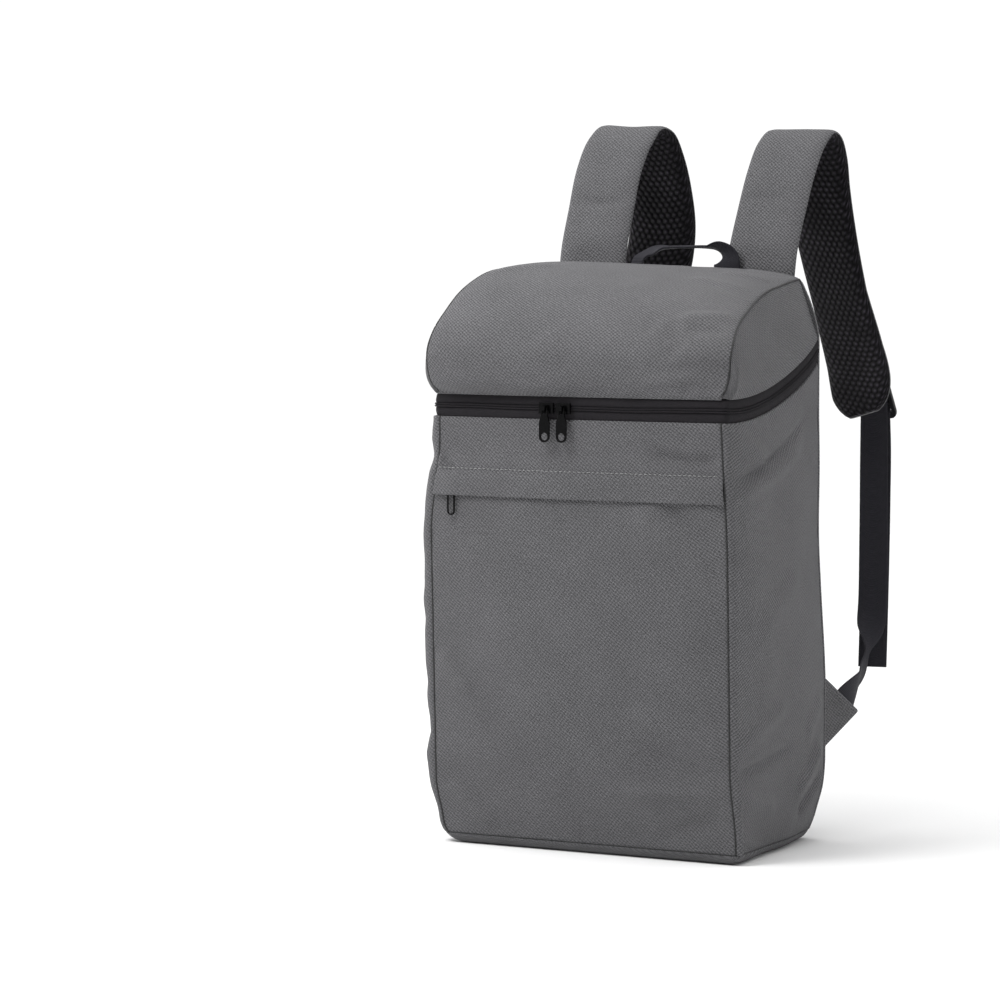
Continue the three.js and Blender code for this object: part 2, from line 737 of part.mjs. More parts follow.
function onBand(frame, across, out) {
  return frame.point.clone().addScaledVector(frame.across, across).addScaledVector(frame.face, out);
}

// A padded section has its two faces flat and a point at the middle of each edge
function paddedSection(frame, width, low, high) {
  const half = width / 2;
  const face = half - Math.min(half * 0.4, BAND_EDGE);
  const middle = (low + high) / 2;
  return [[-half, middle], [-face, high], [face, high], [half, middle], [face, low], [-face, low]]
    .map(([across, out]) => onBand(frame, across, out));
}

function flatSection(frame, width, thickness) {
  const [x, y] = [width / 2, thickness / 2];
  return [[-x, -y], [-x, y], [x, y], [x, -y]].map(([across, out]) => onBand(frame, across, out));
}

function flatBand(route, count, width, thickness) {
  const section = (share) => flatSection(bandFrame(route, share), width, thickness);
  return loftSolid(steps(0, 1, count).map(section));
}

function strapRoute(hand, side) {
  return bandRoute(STRAP_TABLES[hand].map(({ out, back, up, yaw }) => {
    const turn = THREE.MathUtils.degToRad(yaw);
    return {
      point: vec(
        side * STRAP_SPREAD * out,
        STRAP_BACK + STRAP_REACH * back,
        STRAP_SEAM_Z + STRAP_RISE * up,
      ),
      across: vec(Math.cos(turn), -side * Math.sin(turn), 0),
    };
  }));
}

function strapWidthAt(left) {
  const share = Math.min(1, left / STRAP_END_TAPER);
  return STRAP_WIDTH * Math.sqrt(1 - 0.75 * (1 - share) ** 2);
}

const STRAP_SHARES = [...steps(0, 0.94, 36), 0.965, 0.98, 0.992, 1];

function strapLayer(route, low, high) {
  const tip = route.curve.getPoint(1);
  return loftSolid(STRAP_SHARES.map((share) => {
    const frame = bandFrame(route, share);
    return paddedSection(frame, strapWidthAt(frame.point.distanceTo(tip)), low, high);
  }));
}

// The buckle's own frame: its first bar's middle, down the plate, and out through the plate

const TILT = THREE.MathUtils.degToRad(BUCKLE_TILT);
const BUCKLE_DOWN = vec(0, Math.sin(TILT), -Math.cos(TILT));
const BUCKLE_FACE = vec(0, Math.cos(TILT), Math.sin(TILT));
// Slots as shares of the buckle's length
const BUCKLE_SLOTS = [
  { from: 0.045, to: 0.197 },
  { from: 0.288, to: 0.47 },
  { from: 0.591, to: 0.773 },
];
const BUCKLE_WIDE = WEBBING_WIDTH + 1 + 2 * BUCKLE_ARM;

function bucklePoint(side, down, out) {
  return vec(side * BUCKLE_OUT, BACK_Y + BUCKLE_BEHIND, BUCKLE_Z)
    .addScaledVector(BUCKLE_DOWN, down)
    .addScaledVector(BUCKLE_FACE, out);
}

function buckleGeometry(side) {
  const half = BUCKLE_WIDE / 2;
  const shape = new THREE.Shape();
  shape.moveTo(-half, -BUCKLE_BAR / 2);
  shape.lineTo(half, -BUCKLE_BAR / 2);
  shape.lineTo(half, BUCKLE_LONG - half * 0.4);
  shape.quadraticCurveTo(half, BUCKLE_LONG, half * 0.5, BUCKLE_LONG);
  shape.lineTo(-half * 0.5, BUCKLE_LONG);
  shape.quadraticCurveTo(-half, BUCKLE_LONG, -half, BUCKLE_LONG - half * 0.4);
  shape.closePath();
  const inside = half - BUCKLE_ARM;
  for (const { from, to } of BUCKLE_SLOTS) {
    const slot = new THREE.Path();
    slot.moveTo(-inside, from * BUCKLE_LONG);
    slot.lineTo(-inside, to * BUCKLE_LONG);
    slot.lineTo(inside, to * BUCKLE_LONG);
    slot.lineTo(inside, from * BUCKLE_LONG);
    slot.closePath();
    shape.holes.push(slot);
  }
  const depth = BUCKLE_THICK;
  const geometry = new THREE.ExtrudeGeometry(shape, { depth, bevelEnabled: false, curveSegments: 3 });
  geometry.translate(0, 0, -depth / 2);
  const place = new THREE.Matrix4().makeBasis(vec(1, 0, 0), BUCKLE_DOWN, BUCKLE_FACE);
  return geometry.applyMatrix4(place.setPosition(bucklePoint(side, 0, 0)));
}

// The share of a strap's route where its lower end passes a height, found by halving
const STRAP_FALL_FROM = 0.7;
const HALVINGS = 24;

function strapShareAt(strap, z) {
  let [above, below] = [STRAP_FALL_FROM, 1];
  for (let k = 0; k < HALVINGS; k += 1) {
    const middle = (above + below) / 2;
    if (strap.curve.getPoint(middle).z > z) {
      above = middle;
    } else {
      below = middle;
    }
  }
  return above;
}

// A short band is sewn to the strap's grey face, goes round the buckle's first bar and comes back.
// Its two straight legs part from the sewn end to the bar, and all of it shares one frame.
const LOOP_TURN = [-75, -45, -15, 15, 45, 75];

function buckleLoop(side, strap) {
  const layer = (WEBBING + GAP) / 2;
  const sewn = bandFrame(strap, strapShareAt(strap, BUCKLE_Z + LOOP_LONG));
  const sewnOut = STRAP_CLOTH + LOOP_CLEAR + WEBBING / 2 + layer;
  const bar = bucklePoint(side, 0, 0);
  const top = onBand(sewn, side * LOOP_SHIFT, sewnOut).setX(bar.x);
  const frame = bandFrame(bandRoute([
    { point: top, across: vec(1, 0, 0) },
    { point: bar, across: vec(1, 0, 0) },
  ]), 0.5);
  const along = bar.clone().sub(top).normalize();
  const section = (point, face) => (
    flatSection({ point, across: frame.across, face }, WEBBING_WIDTH, WEBBING)
  );
  const leg = (facing) => section(
    top.clone().addScaledVector(frame.face, -facing * layer),
    frame.face.clone().multiplyScalar(facing),
  );
  const turn = LOOP_TURN.map((degrees) => {
    const angle = THREE.MathUtils.degToRad(degrees);
    const inward = along.clone().multiplyScalar(-Math.cos(angle))
      .addScaledVector(frame.face, -Math.sin(angle));
    return section(bar.clone().addScaledVector(inward, -BUCKLE_LOOP_RADIUS), inward);
  });
  return loftSolid([leg(1), ...turn, leg(-1)]);
}

// The tab's own frame: out along the cloth from the side seam, and up

function tabFrame(side) {
  const turn = THREE.MathUtils.degToRad(TAB_TURN);
  const out = vec(side * Math.cos(turn), Math.sin(turn), 0);
  const seam = vec(side * (halfWidth(TAB_TOP) + GAP), BACK_Y + TAB_CLOTH / 4 + GAP, 0);
  return { out, seam, face: vec(side * Math.sin(turn), -Math.cos(turn), 0) };
}

function tabPoint({ out, seam, face }, along, z, proud) {
  return seam.clone().addScaledVector(out, along).addScaledVector(face, proud).setZ(z);
}

function tabGeometry(side) {
  const frame = tabFrame(side);
  const corners = [[0, TAB_TOP], [0, TAB_BOTTOM], [TAB_LONG, TAB_TIP_Z]];
  const [front, rear] = [TAB_CLOTH / 2, -TAB_CLOTH / 2]
    .map((proud) => corners.map(([along, z]) => tabPoint(frame, along, z, proud)));
  return loftSolid([front, rear]);
}

// Webbing: the loaded run climbs from the tab, goes over the buckle's third bar, and the tail hangs

const LOAD_ROWS = [
  { rise: 0.066, out: 0.2, behind: 0.78, across: [-0.36, 0.66, -0.66] },
  { rise: 0.16, out: 0.18, behind: 1.5, across: [0.3, 0.75, -0.56] },
  { rise: 0.3, out: 0.07, behind: 1.8, across: [0.966, 0.259, 0] },
  { rise: 0.56, out: 0.07, behind: 1.15, across: [0.98, 0.2, 0] },
  { rise: 0.8, out: 0.04, behind: 0.5, across: [1, 0.1, 0] },
];

// Places through the buckle, as shares of its length and of its thickness
const BUCKLE_WEAVE = [
  { down: 0.388, out: -0.743 },
  { down: 0.379, out: 0 },
  { down: 0.418, out: 0.714 },
  { down: 0.53, out: 0.886 },
  { down: 0.642, out: 0.714 },
  { down: 0.682, out: 0 },
  { down: 0.727, out: -0.743 },
];

const UNDER_BUCKLE_DROP = 12;
const TAIL_TURN = 1.5;
const TAIL_SWING_POWER = 1.3;
const TAIL_SHARES = [0.14, 0.36, 0.6, 0.82, 1];

function webbingRoute(side) {
  const tab = tabFrame(side);
  const behind = -(TAB_CLOTH + WEBBING) / 2 - GAP;
  const [edgeOut, edgeDown] = [TAB_LONG, TAB_TOP - TAB_TIP_Z];
  const edge = Math.hypot(edgeOut, edgeDown);
  const edgeAlong = tab.out.clone().multiplyScalar(edgeOut / edge).setZ(-edgeDown / edge);
  const sewn = (beyond) => tabPoint(
    tab,
    TAB_SEWN_AT * edgeOut + beyond * edgeDown / edge,
    TAB_TOP - TAB_SEWN_AT * edgeDown + beyond * edgeOut / edge,
    behind,
  );
  const foot = sewn(0);
  const weave = BUCKLE_WEAVE.map(({ down, out }) => (
    bucklePoint(side, down * BUCKLE_LONG, out * BUCKLE_THICK)
  ));
  const underBuckle = weave[0].clone();
  underBuckle.z -= UNDER_BUCKLE_DROP;
  const load = LOAD_ROWS.map((row) => {
    const point = foot.clone().lerp(underBuckle, row.rise);
    point.x += side * LOAD_SLACK * row.out;
    point.y += LOAD_SLACK * row.behind;
    return { point, across: vec(side * row.across[0], row.across[1], row.across[2]).multiplyScalar(side) };
  });
  const level = vec(1, 0, 0);
  const tailTop = weave[weave.length - 1];
  const tailEnd = vec(side * TAIL_OUT, BACK_Y + TAIL_BEHIND, TAIL_END_Z);
  const tail = TAIL_SHARES.map((share) => ({
    point: vec(
      mix(tailTop.x, tailEnd.x, share),
      mix(tailTop.y + TAIL_TURN, tailEnd.y, share ** TAIL_SWING_POWER),
      mix(tailTop.z, tailEnd.z, share),
    ),
    across: vec(1, side * 0.2 * Math.min(1, share * 2), 0),
  }));
  return bandRoute([
    { point: sewn(-TAB_OVERLAP), across: edgeAlong.clone().multiplyScalar(side) },
    { point: foot, across: edgeAlong.clone().multiplyScalar(side) },
    ...load,
    { point: underBuckle, across: level },
    ...weave.map((point) => ({ point, across: level })),
    ...tail,
  ]);
}

const WEBBING_STEPS = 60;

for (const [hand, side] of [['left', -1], ['right', 1]]) {
  const strap = strapRoute(hand, side);
  addPart(`strap_${hand}`, strapLayer(strap, GAP / 2, STRAP_CLOTH), FABRIC);
  addPart(`strap_pad_${hand}`, strapLayer(strap, -STRAP_PAD, -GAP / 2), BLACK_CLOTH);
  addPart(`buckle_${hand}`, buckleGeometry(side), BLACK_PLASTIC);
  addPart(`buckle_loop_${hand}`, buckleLoop(side, strap), BLACK_CLOTH);
  const webbing = flatBand(webbingRoute(side), WEBBING_STEPS, WEBBING_WIDTH, WEBBING);
  addPart(`webbing_${hand}`, webbing, BLACK_CLOTH);
  addPart(`tab_${hand}`, tabGeometry(side), FABRIC);
}

// The carry handle: sewn flat to the back panel at both ends, and level across the top

const HANDLE_ROWS = [
  { along: 0, behind: 0, up: -0.95, across: [1, 0, 0] },
  { along: 0, behind: 0.05, up: -0.1, across: [1, 0, 0] },
  { along: 0.02, behind: 0.25, up: 0.35, across: [1, -0.1, -0.1] },
  { along: 0.11, behind: 0.8, up: 0.68, across: [0.5, -0.7, -0.5] },
  { along: 0.3, behind: 1, up: 0.9, across: [0, -1, 0] },
  { along: 0.58, behind: 1, up: 0.95, across: [0, -1, 0] },
  { along: 0.82, behind: 0.9, up: 0.88, across: [0.1, -1, 0.1] },
  { along: 0.94, behind: 0.45, up: 0.65, across: [0.5, -0.7, 0.5] },
  { along: 0.99, behind: 0.08, up: 0.3, across: [1, -0.1, 0.1] },
  { along: 1, behind: 0.03, up: -0.1, across: [1, 0, 0] },
  { along: 1, behind: 0, up: -0.95, across: [1, 0, 0] },
];

const handleTop = lidPoint(0, 1).z;
const handleRoute = bandRoute(HANDLE_ROWS.map(({ along, behind, up, across }) => ({
  point: vec(
    mix(HANDLE_LEFT_X, HANDLE_RIGHT_X, along),
    BACK_Y + GAP + HANDLE_THICK / 2 + HANDLE_STANDOFF * behind,
    handleTop + HANDLE_CREST * up,
  ),
  across: vec(...across),
})));

const HANDLE_STEPS = 32;
addPart('carry_handle', flatBand(handleRoute, HANDLE_STEPS, HANDLE_WIDTH, HANDLE_THICK), BLACK_CLOTH);

export default bag;
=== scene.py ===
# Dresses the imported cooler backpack: padded cloth panels with sewn edges, a wrap-round zip, padded
# straps, webbing, buckles and stitches, on a pale floor in soft studio light.
# Lengths are in millimetres until a mesh is made.

import math

import bpy
import numpy as np
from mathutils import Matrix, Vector


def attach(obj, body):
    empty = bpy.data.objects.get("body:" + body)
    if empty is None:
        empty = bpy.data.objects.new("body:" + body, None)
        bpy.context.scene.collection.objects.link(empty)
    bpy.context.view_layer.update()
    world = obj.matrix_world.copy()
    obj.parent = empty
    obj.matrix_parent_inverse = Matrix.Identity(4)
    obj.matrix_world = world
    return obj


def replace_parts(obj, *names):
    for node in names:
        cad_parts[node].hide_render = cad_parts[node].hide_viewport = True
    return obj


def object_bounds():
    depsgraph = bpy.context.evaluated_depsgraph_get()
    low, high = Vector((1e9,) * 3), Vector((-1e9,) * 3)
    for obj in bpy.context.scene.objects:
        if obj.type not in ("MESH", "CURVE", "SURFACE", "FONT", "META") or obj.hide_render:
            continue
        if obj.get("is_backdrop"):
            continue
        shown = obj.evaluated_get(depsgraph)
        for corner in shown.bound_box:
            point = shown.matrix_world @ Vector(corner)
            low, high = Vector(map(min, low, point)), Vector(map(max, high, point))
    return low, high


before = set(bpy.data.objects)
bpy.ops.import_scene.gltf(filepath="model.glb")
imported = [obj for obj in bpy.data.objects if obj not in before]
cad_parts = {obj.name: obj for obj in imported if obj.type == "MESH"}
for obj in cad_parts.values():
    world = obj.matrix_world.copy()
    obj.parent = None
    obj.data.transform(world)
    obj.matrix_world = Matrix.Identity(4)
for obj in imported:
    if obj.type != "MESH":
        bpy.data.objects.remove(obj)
CAD_BOX = [list(corner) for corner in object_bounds()]
MM = 0.001
UP = np.array([0.0, 0.0, 1.0])

# Driving dimensions of the body, as in the part's source

BAG_WIDTH = 280
BAG_DEPTH = 170
ZIP_HEIGHT = 370
ZIP_RISE = 44
ZIP_RISE_POWER = 1.9
LID_RISE = 95
LID_TAPER = 17.5
LID_PUFF = 7
FRONT_LEAN = 14
FRONT_CROWN = 6
SIDE_CROWN = 4
WAIST_IN = 4
WAIST_START = 250
CORNER_RADIUS = 6
BASE_CORNER = 10
BASE_RIM = 8
WALL = 4
BACK_WALL = 6
CLOTH = 1.6
GAP = 0.3
ZIP_BAND = 18
FLAP_STITCH = 318
FLAP_EDGE = 295
POCKET_TOP = 300
POCKET_PUFF = 3
POCKET_SLIDER_X = -118
STRAP_WIDTH = 64
STRAP_CLOTH = 3.6
STRAP_PAD = 5
STRAP_SEAM_Z = 440
STRAP_RISE = 162
STRAP_SPREAD = 80
STRAP_REACH = 100
STRAP_END_TAPER = 26
WEBBING_WIDTH = 25
WEBBING = 1.3
BUCKLE_TILT = 35
BUCKLE_OUT = 143.5
BUCKLE_BEHIND = 90
BUCKLE_Z = 380
BUCKLE_LONG = 33
BUCKLE_THICK = 3.5
BUCKLE_LOOP_RADIUS = 3.7
LOOP_LONG = 16
LOOP_SHIFT = 9.5
LOOP_CLEAR = 3.8
LOAD_SLACK = 20
TAIL_OUT = 147
TAIL_BEHIND = 87
TAIL_END_Z = 138
TAB_LONG = 37
TAB_TOP = 137
TAB_TIP_Z = 106
TAB_BOTTOM = 78
TAB_TURN = 65.5
TAB_CLOTH = 2.4
TAB_OVERLAP = 9
TAB_SEWN_AT = 0.68
HANDLE_WIDTH = 25
HANDLE_THICK = 2.4
HANDLE_LEFT_X = -39
HANDLE_RIGHT_X = 47
HANDLE_STANDOFF = 8
HANDLE_CREST = 17
BACK_Y = BAG_DEPTH / 2
HANDS = (("left", -1), ("right", 1))

# Numbers and curves


def ease(share):
    t = np.clip(share, 0, 1)
    return t * t * (3 - 2 * t)


def above(value, start, over):
    """A smooth step from 0 at a start to 1 at some way over it."""
    return ease((value - start) / over)


def below(value, end, under):
    """A smooth step from 0 at an end to 1 at some way under it."""
    return ease((end - value) / under)


def bell(value, middle, wide):
    """A smooth hump that is 1 in its middle and fades out on both sides."""
    return np.exp(-(((value - middle) / wide) ** 2))


def mix(a, b, share):
    return a + (b - a) * share


def place(x, y, z):
    return np.stack(np.broadcast_arrays(x, y, z), axis=-1).astype(float)


def unit(vectors):
    return vectors / np.maximum(np.linalg.norm(vectors, axis=-1, keepdims=True), 1e-12)


def curve(rows, shares):
    """Points of a smooth centripetal curve, where each span between rows takes an equal share."""
    p = np.array(rows, float)
    p = np.vstack([2 * p[0] - p[1], p, 2 * p[-1] - p[-2]])
    at = np.clip(np.asarray(shares, float), 0, 1) * (len(rows) - 1)
    span = np.minimum(at.astype(int), len(rows) - 2)
    t = (at - span)[..., None]
    a, b, c, d = p[span], p[span + 1], p[span + 2], p[span + 3]
    before, here, after = (
        np.maximum(np.linalg.norm(far - near, axis=-1, keepdims=True), 1e-8) ** 0.5
        for near, far in ((a, b), (b, c), (c, d))
    )
    leave = ((b - a) / before - (c - a) / (before + here) + (c - b) / here) * here
    arrive = ((c - b) / here - (d - b) / (here + after) + (d - c) / after) * here
    bend = 3 * (c - b) - 2 * leave - arrive
    return b + leave * t + bend * t**2 + (2 * (b - c) + leave + arrive) * t**3


def even_shares(rows, spacing):
    """Shares of a curve that are the same distance apart along it."""
    fine = np.linspace(0, 1, 2001)
    line = curve(rows, fine)
    run = running(line, 0)
    return np.interp(np.linspace(0, run[-1], max(4, round(run[-1] / spacing)) + 1), run, fine)


def spread(field, shares):
    """A grid read at shares of its first axis, by smooth cubic steps."""
    at = np.asarray(shares, float) * (len(field) - 1)
    span = np.clip(at.astype(int), 0, len(field) - 2)
    t = (at - span).reshape(-1, *[1] * (field.ndim - 1))
    a, b, c, d = (field[np.clip(span + k, 0, len(field) - 1)] for k in (-1, 0, 1, 2))
    return b + 0.5 * t * (c - a + t * (2 * a - 5 * b + 4 * c - d + t * (3 * (b - c) + d - a)))


NOISE_CELLS = 61


def soft_noise(x, y, size, seed):
    """Smooth noise from -1 to 1 over two lengths, with features about size apart."""
    table = np.random.default_rng(seed).uniform(-1, 1, (NOISE_CELLS, NOISE_CELLS))
    gx, gy = np.asarray(x) / size + 7.3, np.asarray(y) / size + 5.9
    ix, iy = np.floor(gx).astype(int), np.floor(gy).astype(int)
    fx, fy = ease(gx - ix), ease(gy - iy)
    corner = lambda i, j: table[(ix + i) % NOISE_CELLS, (iy + j) % NOISE_CELLS]
    return mix(mix(corner(0, 0), corner(1, 0), fx), mix(corner(0, 1), corner(1, 1), fx), fy)


def running(grid, axis):
    """How far each point of a line or grid is along an axis, measured over the surface."""
    steps = np.linalg.norm(np.diff(grid, axis=axis), axis=-1)
    lead = np.zeros_like(np.take(steps, [0], axis=axis))
    return np.concatenate([lead, np.cumsum(steps, axis=axis)], axis=axis)


# The body's plan and the zip line, as in the part's source


def half_width(z):
    return BAG_WIDTH / 2 - WAIST_IN * ease((z - WAIST_START) / (ZIP_HEIGHT - WAIST_START))


def front_y(z):
    return -BAG_DEPTH / 2 - FRONT_LEAN * z / ZIP_HEIGHT


def crown_share(z):
    return ease((z - BASE_RIM) / (ZIP_HEIGHT - BASE_RIM) * 2)


def side_point(side, travel, z):
    """A point on a side: travel is 0 at the back, 1 where the side ends and 2 round the corner."""
    wide = half_width(z)
    corner_y = front_y(z) + CORNER_RADIUS
    bulge = SIDE_CROWN * (1 - (2 * travel - 1) ** 4) * crown_share(z)
    flat = place(side * (wide + bulge), mix(BACK_Y - BACK_WALL - GAP, corner_y, travel), z)
    angle = (travel - 1) * math.pi / 2
    x = side * (wide - CORNER_RADIUS + CORNER_RADIUS * np.cos(angle))
    turned = place(x, corner_y - CORNER_RADIUS * np.sin(angle), z)
    return np.where(np.expand_dims(np.asarray(travel) <= 1, -1), flat, turned)


def front_point(share, z):
    """A point on the front: share is -1 at the left corner seam and 1 at the right one."""
    x = share * (half_width(z) - CORNER_RADIUS)
    return place(x, front_y(z) - FRONT_CROWN * (1 - share**2) * crown_share(z), z)


def zip_height(travel, distance=0):
    """The height of the zip line on a side, or of a line at some distance from it."""
    back = np.maximum(0, 1 - travel)
    slope = ZIP_RISE * ZIP_RISE_POWER * back ** (ZIP_RISE_POWER - 1) / (BAG_DEPTH + FRONT_LEAN)
    return ZIP_HEIGHT + ZIP_RISE * back**ZIP_RISE_POWER + distance * np.hypot(1, slope)


# How the filled bag departs from its plan, as the largest moves of its places

LOW_BACK_IN = 7
LOW_BACK_FORWARD = 5
UNDERSIDE_IN = 4
WAIST_PINCH = 3.5
LOWER_SIDE_OUT = 3.5
LEFT_CORNER_IN = 6.5
LEFT_FOOT_IN = 9
RIGHT_FOOT_OUT = 4.5


def body_shape(points):
    """Moves points of the body as the padding does: corners drawn in, seams pushed out."""
    x, y, z = points[..., 0], points[..., 1], points[..., 2]
    wide = np.abs(x)
    out = above(wide, 95, 45)
    back = above(y, 10, 75)
    corner = below(y, front_y(z) + 10, 8) * above(wide, 100, 34)
    low_back = below(z, 50, 50) * back * out
    underside = (1 - above(z, 0, 28)) ** 2 * above(y, -70, 60) * out
    waist = bell(z, 262, 48) * back * out
    lower = above(z, 25, 45) * below(z, 215, 90) * out * above(y, -60, 90)
    left_foot = (x < 0) * above(wide, 105, 30) * below(z, 24, 24) ** 2
    shift = np.sign(x) * (LOWER_SIDE_OUT * lower - LOW_BACK_IN * low_back
                          - UNDERSIDE_IN * underside - WAIST_PINCH * waist)
    shift -= LEFT_CORNER_IN * (x < 0) * corner * above(z, 15, 40) * below(z, 335, 70)
    shift += LEFT_FOOT_IN * left_foot
    shift += RIGHT_FOOT_OUT * (x > 0) * corner * below(z, 75, 60)
    moved = points.copy()
    moved[..., 0] += shift
    moved[..., 1] -= LOW_BACK_FORWARD * low_back
    return moved


# Meshes


def make_mesh(name, points, faces, uv, sharp_from):
    mesh = bpy.data.meshes.new(name)
    mesh.from_pydata((points * MM).tolist(), [], faces)
    layer = mesh.uv_layers.new(name="cloth")
    corners = np.zeros(len(mesh.loops), int)
    mesh.loops.foreach_get("vertex_index", corners)
    layer.data.foreach_set("uv", uv[corners].astype(np.float32).ravel())
    mesh.shade_smooth()
    mesh.set_sharp_from_angle(angle=math.radians(sharp_from))
    return mesh


def dress(mesh, name, material, slot, nodes=(), body="bag"):
    """Adds a piece to the scene: its look, its body and the nodes it stands for. The slot is not used.
    """
    piece = bpy.data.objects.new(name, mesh)
    bpy.context.scene.collection.objects.link(piece)
    piece.data.materials.clear()
    piece.data.materials.append(material)
    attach(piece, body)
    if nodes:
        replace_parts(piece, *nodes)
    return piece


def shell(name, outer, inner, look, nodes=(), sharp_from=60, places=None):
    """A closed cloth piece between two grids of the same size, with a rim joining their edges."""
    rows, columns = outer.shape[:2]
    one = np.arange(rows * columns).reshape(rows, columns)
    two = one + rows * columns
    quads = lambda a, b, c, d: np.stack([a, b, c, d], axis=-1).reshape(-1, 4)
    faces = np.concatenate([
        quads(one[:-1, :-1], one[:-1, 1:], one[1:, 1:], one[1:, :-1]),
        quads(two[:-1, :-1], two[1:, :-1], two[1:, 1:], two[:-1, 1:]),
        quads(one[0, 1:], one[0, :-1], two[0, :-1], two[0, 1:]),
        quads(one[-1, :-1], one[-1, 1:], two[-1, 1:], two[-1, :-1]),
        quads(one[:-1, 0], one[1:, 0], two[1:, 0], two[:-1, 0]),
        quads(one[1:, -1], one[:-1, -1], two[:-1, -1], two[1:, -1]),
    ])
    if facing_in(outer, inner):
        faces = faces[:, ::-1]
    if places is None:
        across, along = running(outer, 1), running(outer, 0)
        places = np.stack([across - across[:, columns // 2, None], along], axis=-1)
    flat = places.reshape(-1, 2)
    points = np.concatenate([outer.reshape(-1, 3), inner.reshape(-1, 3)])
    mesh = make_mesh(name, points, faces.tolist(), np.concatenate([flat, flat]), sharp_from)
    return dress(mesh, name, *look, nodes=nodes)


def grid_normals(grid):
    return unit(np.cross(np.gradient(grid, axis=1), np.gradient(grid, axis=0)))


def facing_in(outer, inner):
    """True where a grid's own normals point from its outer face to its inner one."""
    return np.sum(grid_normals(outer) * (outer - inner)) < 0


# Cloth that settles between its seams

SETTLE_SPACING = 6
SETTLE_FRAMES = 18


def settled(grid, pressure, growth, cap):
    """Runs a sheet that is pinned along its edges as cloth, and returns how far each point moved."""
    rows, columns = grid.shape[:2]
    index = np.arange(rows * columns).reshape(rows, columns)
    faces = np.stack([index[:-1, :-1], index[:-1, 1:], index[1:, 1:], index[1:, :-1]], axis=-1)
    mesh = bpy.data.meshes.new("settling")
    mesh.from_pydata((grid.reshape(-1, 3) * MM).tolist(), [], faces.reshape(-1, 4).tolist())
    sheet = bpy.data.objects.new("settling", mesh)
    scene = bpy.context.scene
    scene.collection.objects.link(sheet)
    edge = np.ones((rows, columns), bool)
    edge[1:-1, 1:-1] = False
    sheet.vertex_groups.new(name="sewn").add(index[edge].tolist(), 1.0, "ADD")
    cloth = sheet.modifiers.new("cloth", "CLOTH")
    cloth.point_cache.frame_end = SETTLE_FRAMES
    settings = cloth.settings
    settings.vertex_group_mass = "sewn"
    settings.quality = 5
    settings.bending_stiffness = 2
    settings.shrink_min = -growth
    settings.use_pressure = True
    settings.uniform_pressure_force = pressure
    settings.effector_weights.gravity = 0
    for number in range(1, SETTLE_FRAMES + 1):
        scene.frame_set(number)
    evaluated = sheet.evaluated_get(bpy.context.evaluated_depsgraph_get())
    moved = np.zeros(rows * columns * 3)
    evaluated.data.vertices.foreach_get("co", moved)
    moved = moved.reshape(grid.shape) / MM - grid
    bpy.data.objects.remove(sheet)
    scene.frame_set(1)
    return moved * min(1, cap / np.abs(moved).max())


# How far the points near a sewn edge are from it
EDGE_STEPS = np.array([0, 0.35, 0.8, 1.4, 2.2, 3.2, 4.5])


def graded(length, spacing):
    """Shares of a length, close together near both ends."""
    count = max(3, round((length - 2 * EDGE_STEPS[-1]) / spacing) + 1)
    middle = np.linspace(EDGE_STEPS[-1], length - EDGE_STEPS[-1], count)[1:-1]
    return np.concatenate([EDGE_STEPS, middle, length - EDGE_STEPS[::-1]]) / length


def edge_roll(distance, drop, radius):
    """How far a rounded edge falls below the face, at a distance from the edge."""
    t = 1 - np.clip(distance / radius, 0, 1)
    return drop * (1 - np.sqrt(1 - np.minimum(t, 0.999) ** 2))


FOLD_GAIN = 1.6


def creases(u, v, size, rows):
    """Folds along straight lines: each row has two places as shares, a width and a rise."""
    wide, tall = size
    total = np.zeros_like(u)
    for u0, v0, u1, v1, reach, rise in rows:
        dx, dy = (u1 - u0) * wide, (v1 - v0) * tall
        px, py = (u - u0) * wide, (v - v0) * tall
        t = np.clip((px * dx + py * dy) / (dx**2 + dy**2), 0, 1)
        fade = ease(t * 4) * ease((1 - t) * 4)
        total += rise * bell(np.hypot(px - t * dx, py - t * dy), 0, reach) * fade
    return total * FOLD_GAIN


# Rolls of sewn edges: how far the face drops, and how far from the edge it starts to
SEAM = (1.0, 2.4)
HEM = (0.8, 1.2)
CORNER = (4.5, 6)
CUT = (0.2, 1)
PUCKER = 0.45
RIPPLE = 0.35
RIPPLE_SIZE = 42
GATHER_SIZE = 9
BODY_CENTRE = (0, 0, 230)


def turned_in(grid, normals):
    """True where a grid's normals point at the middle of the body."""
    return np.sum(normals * (grid - BODY_CENTRE)) < 0


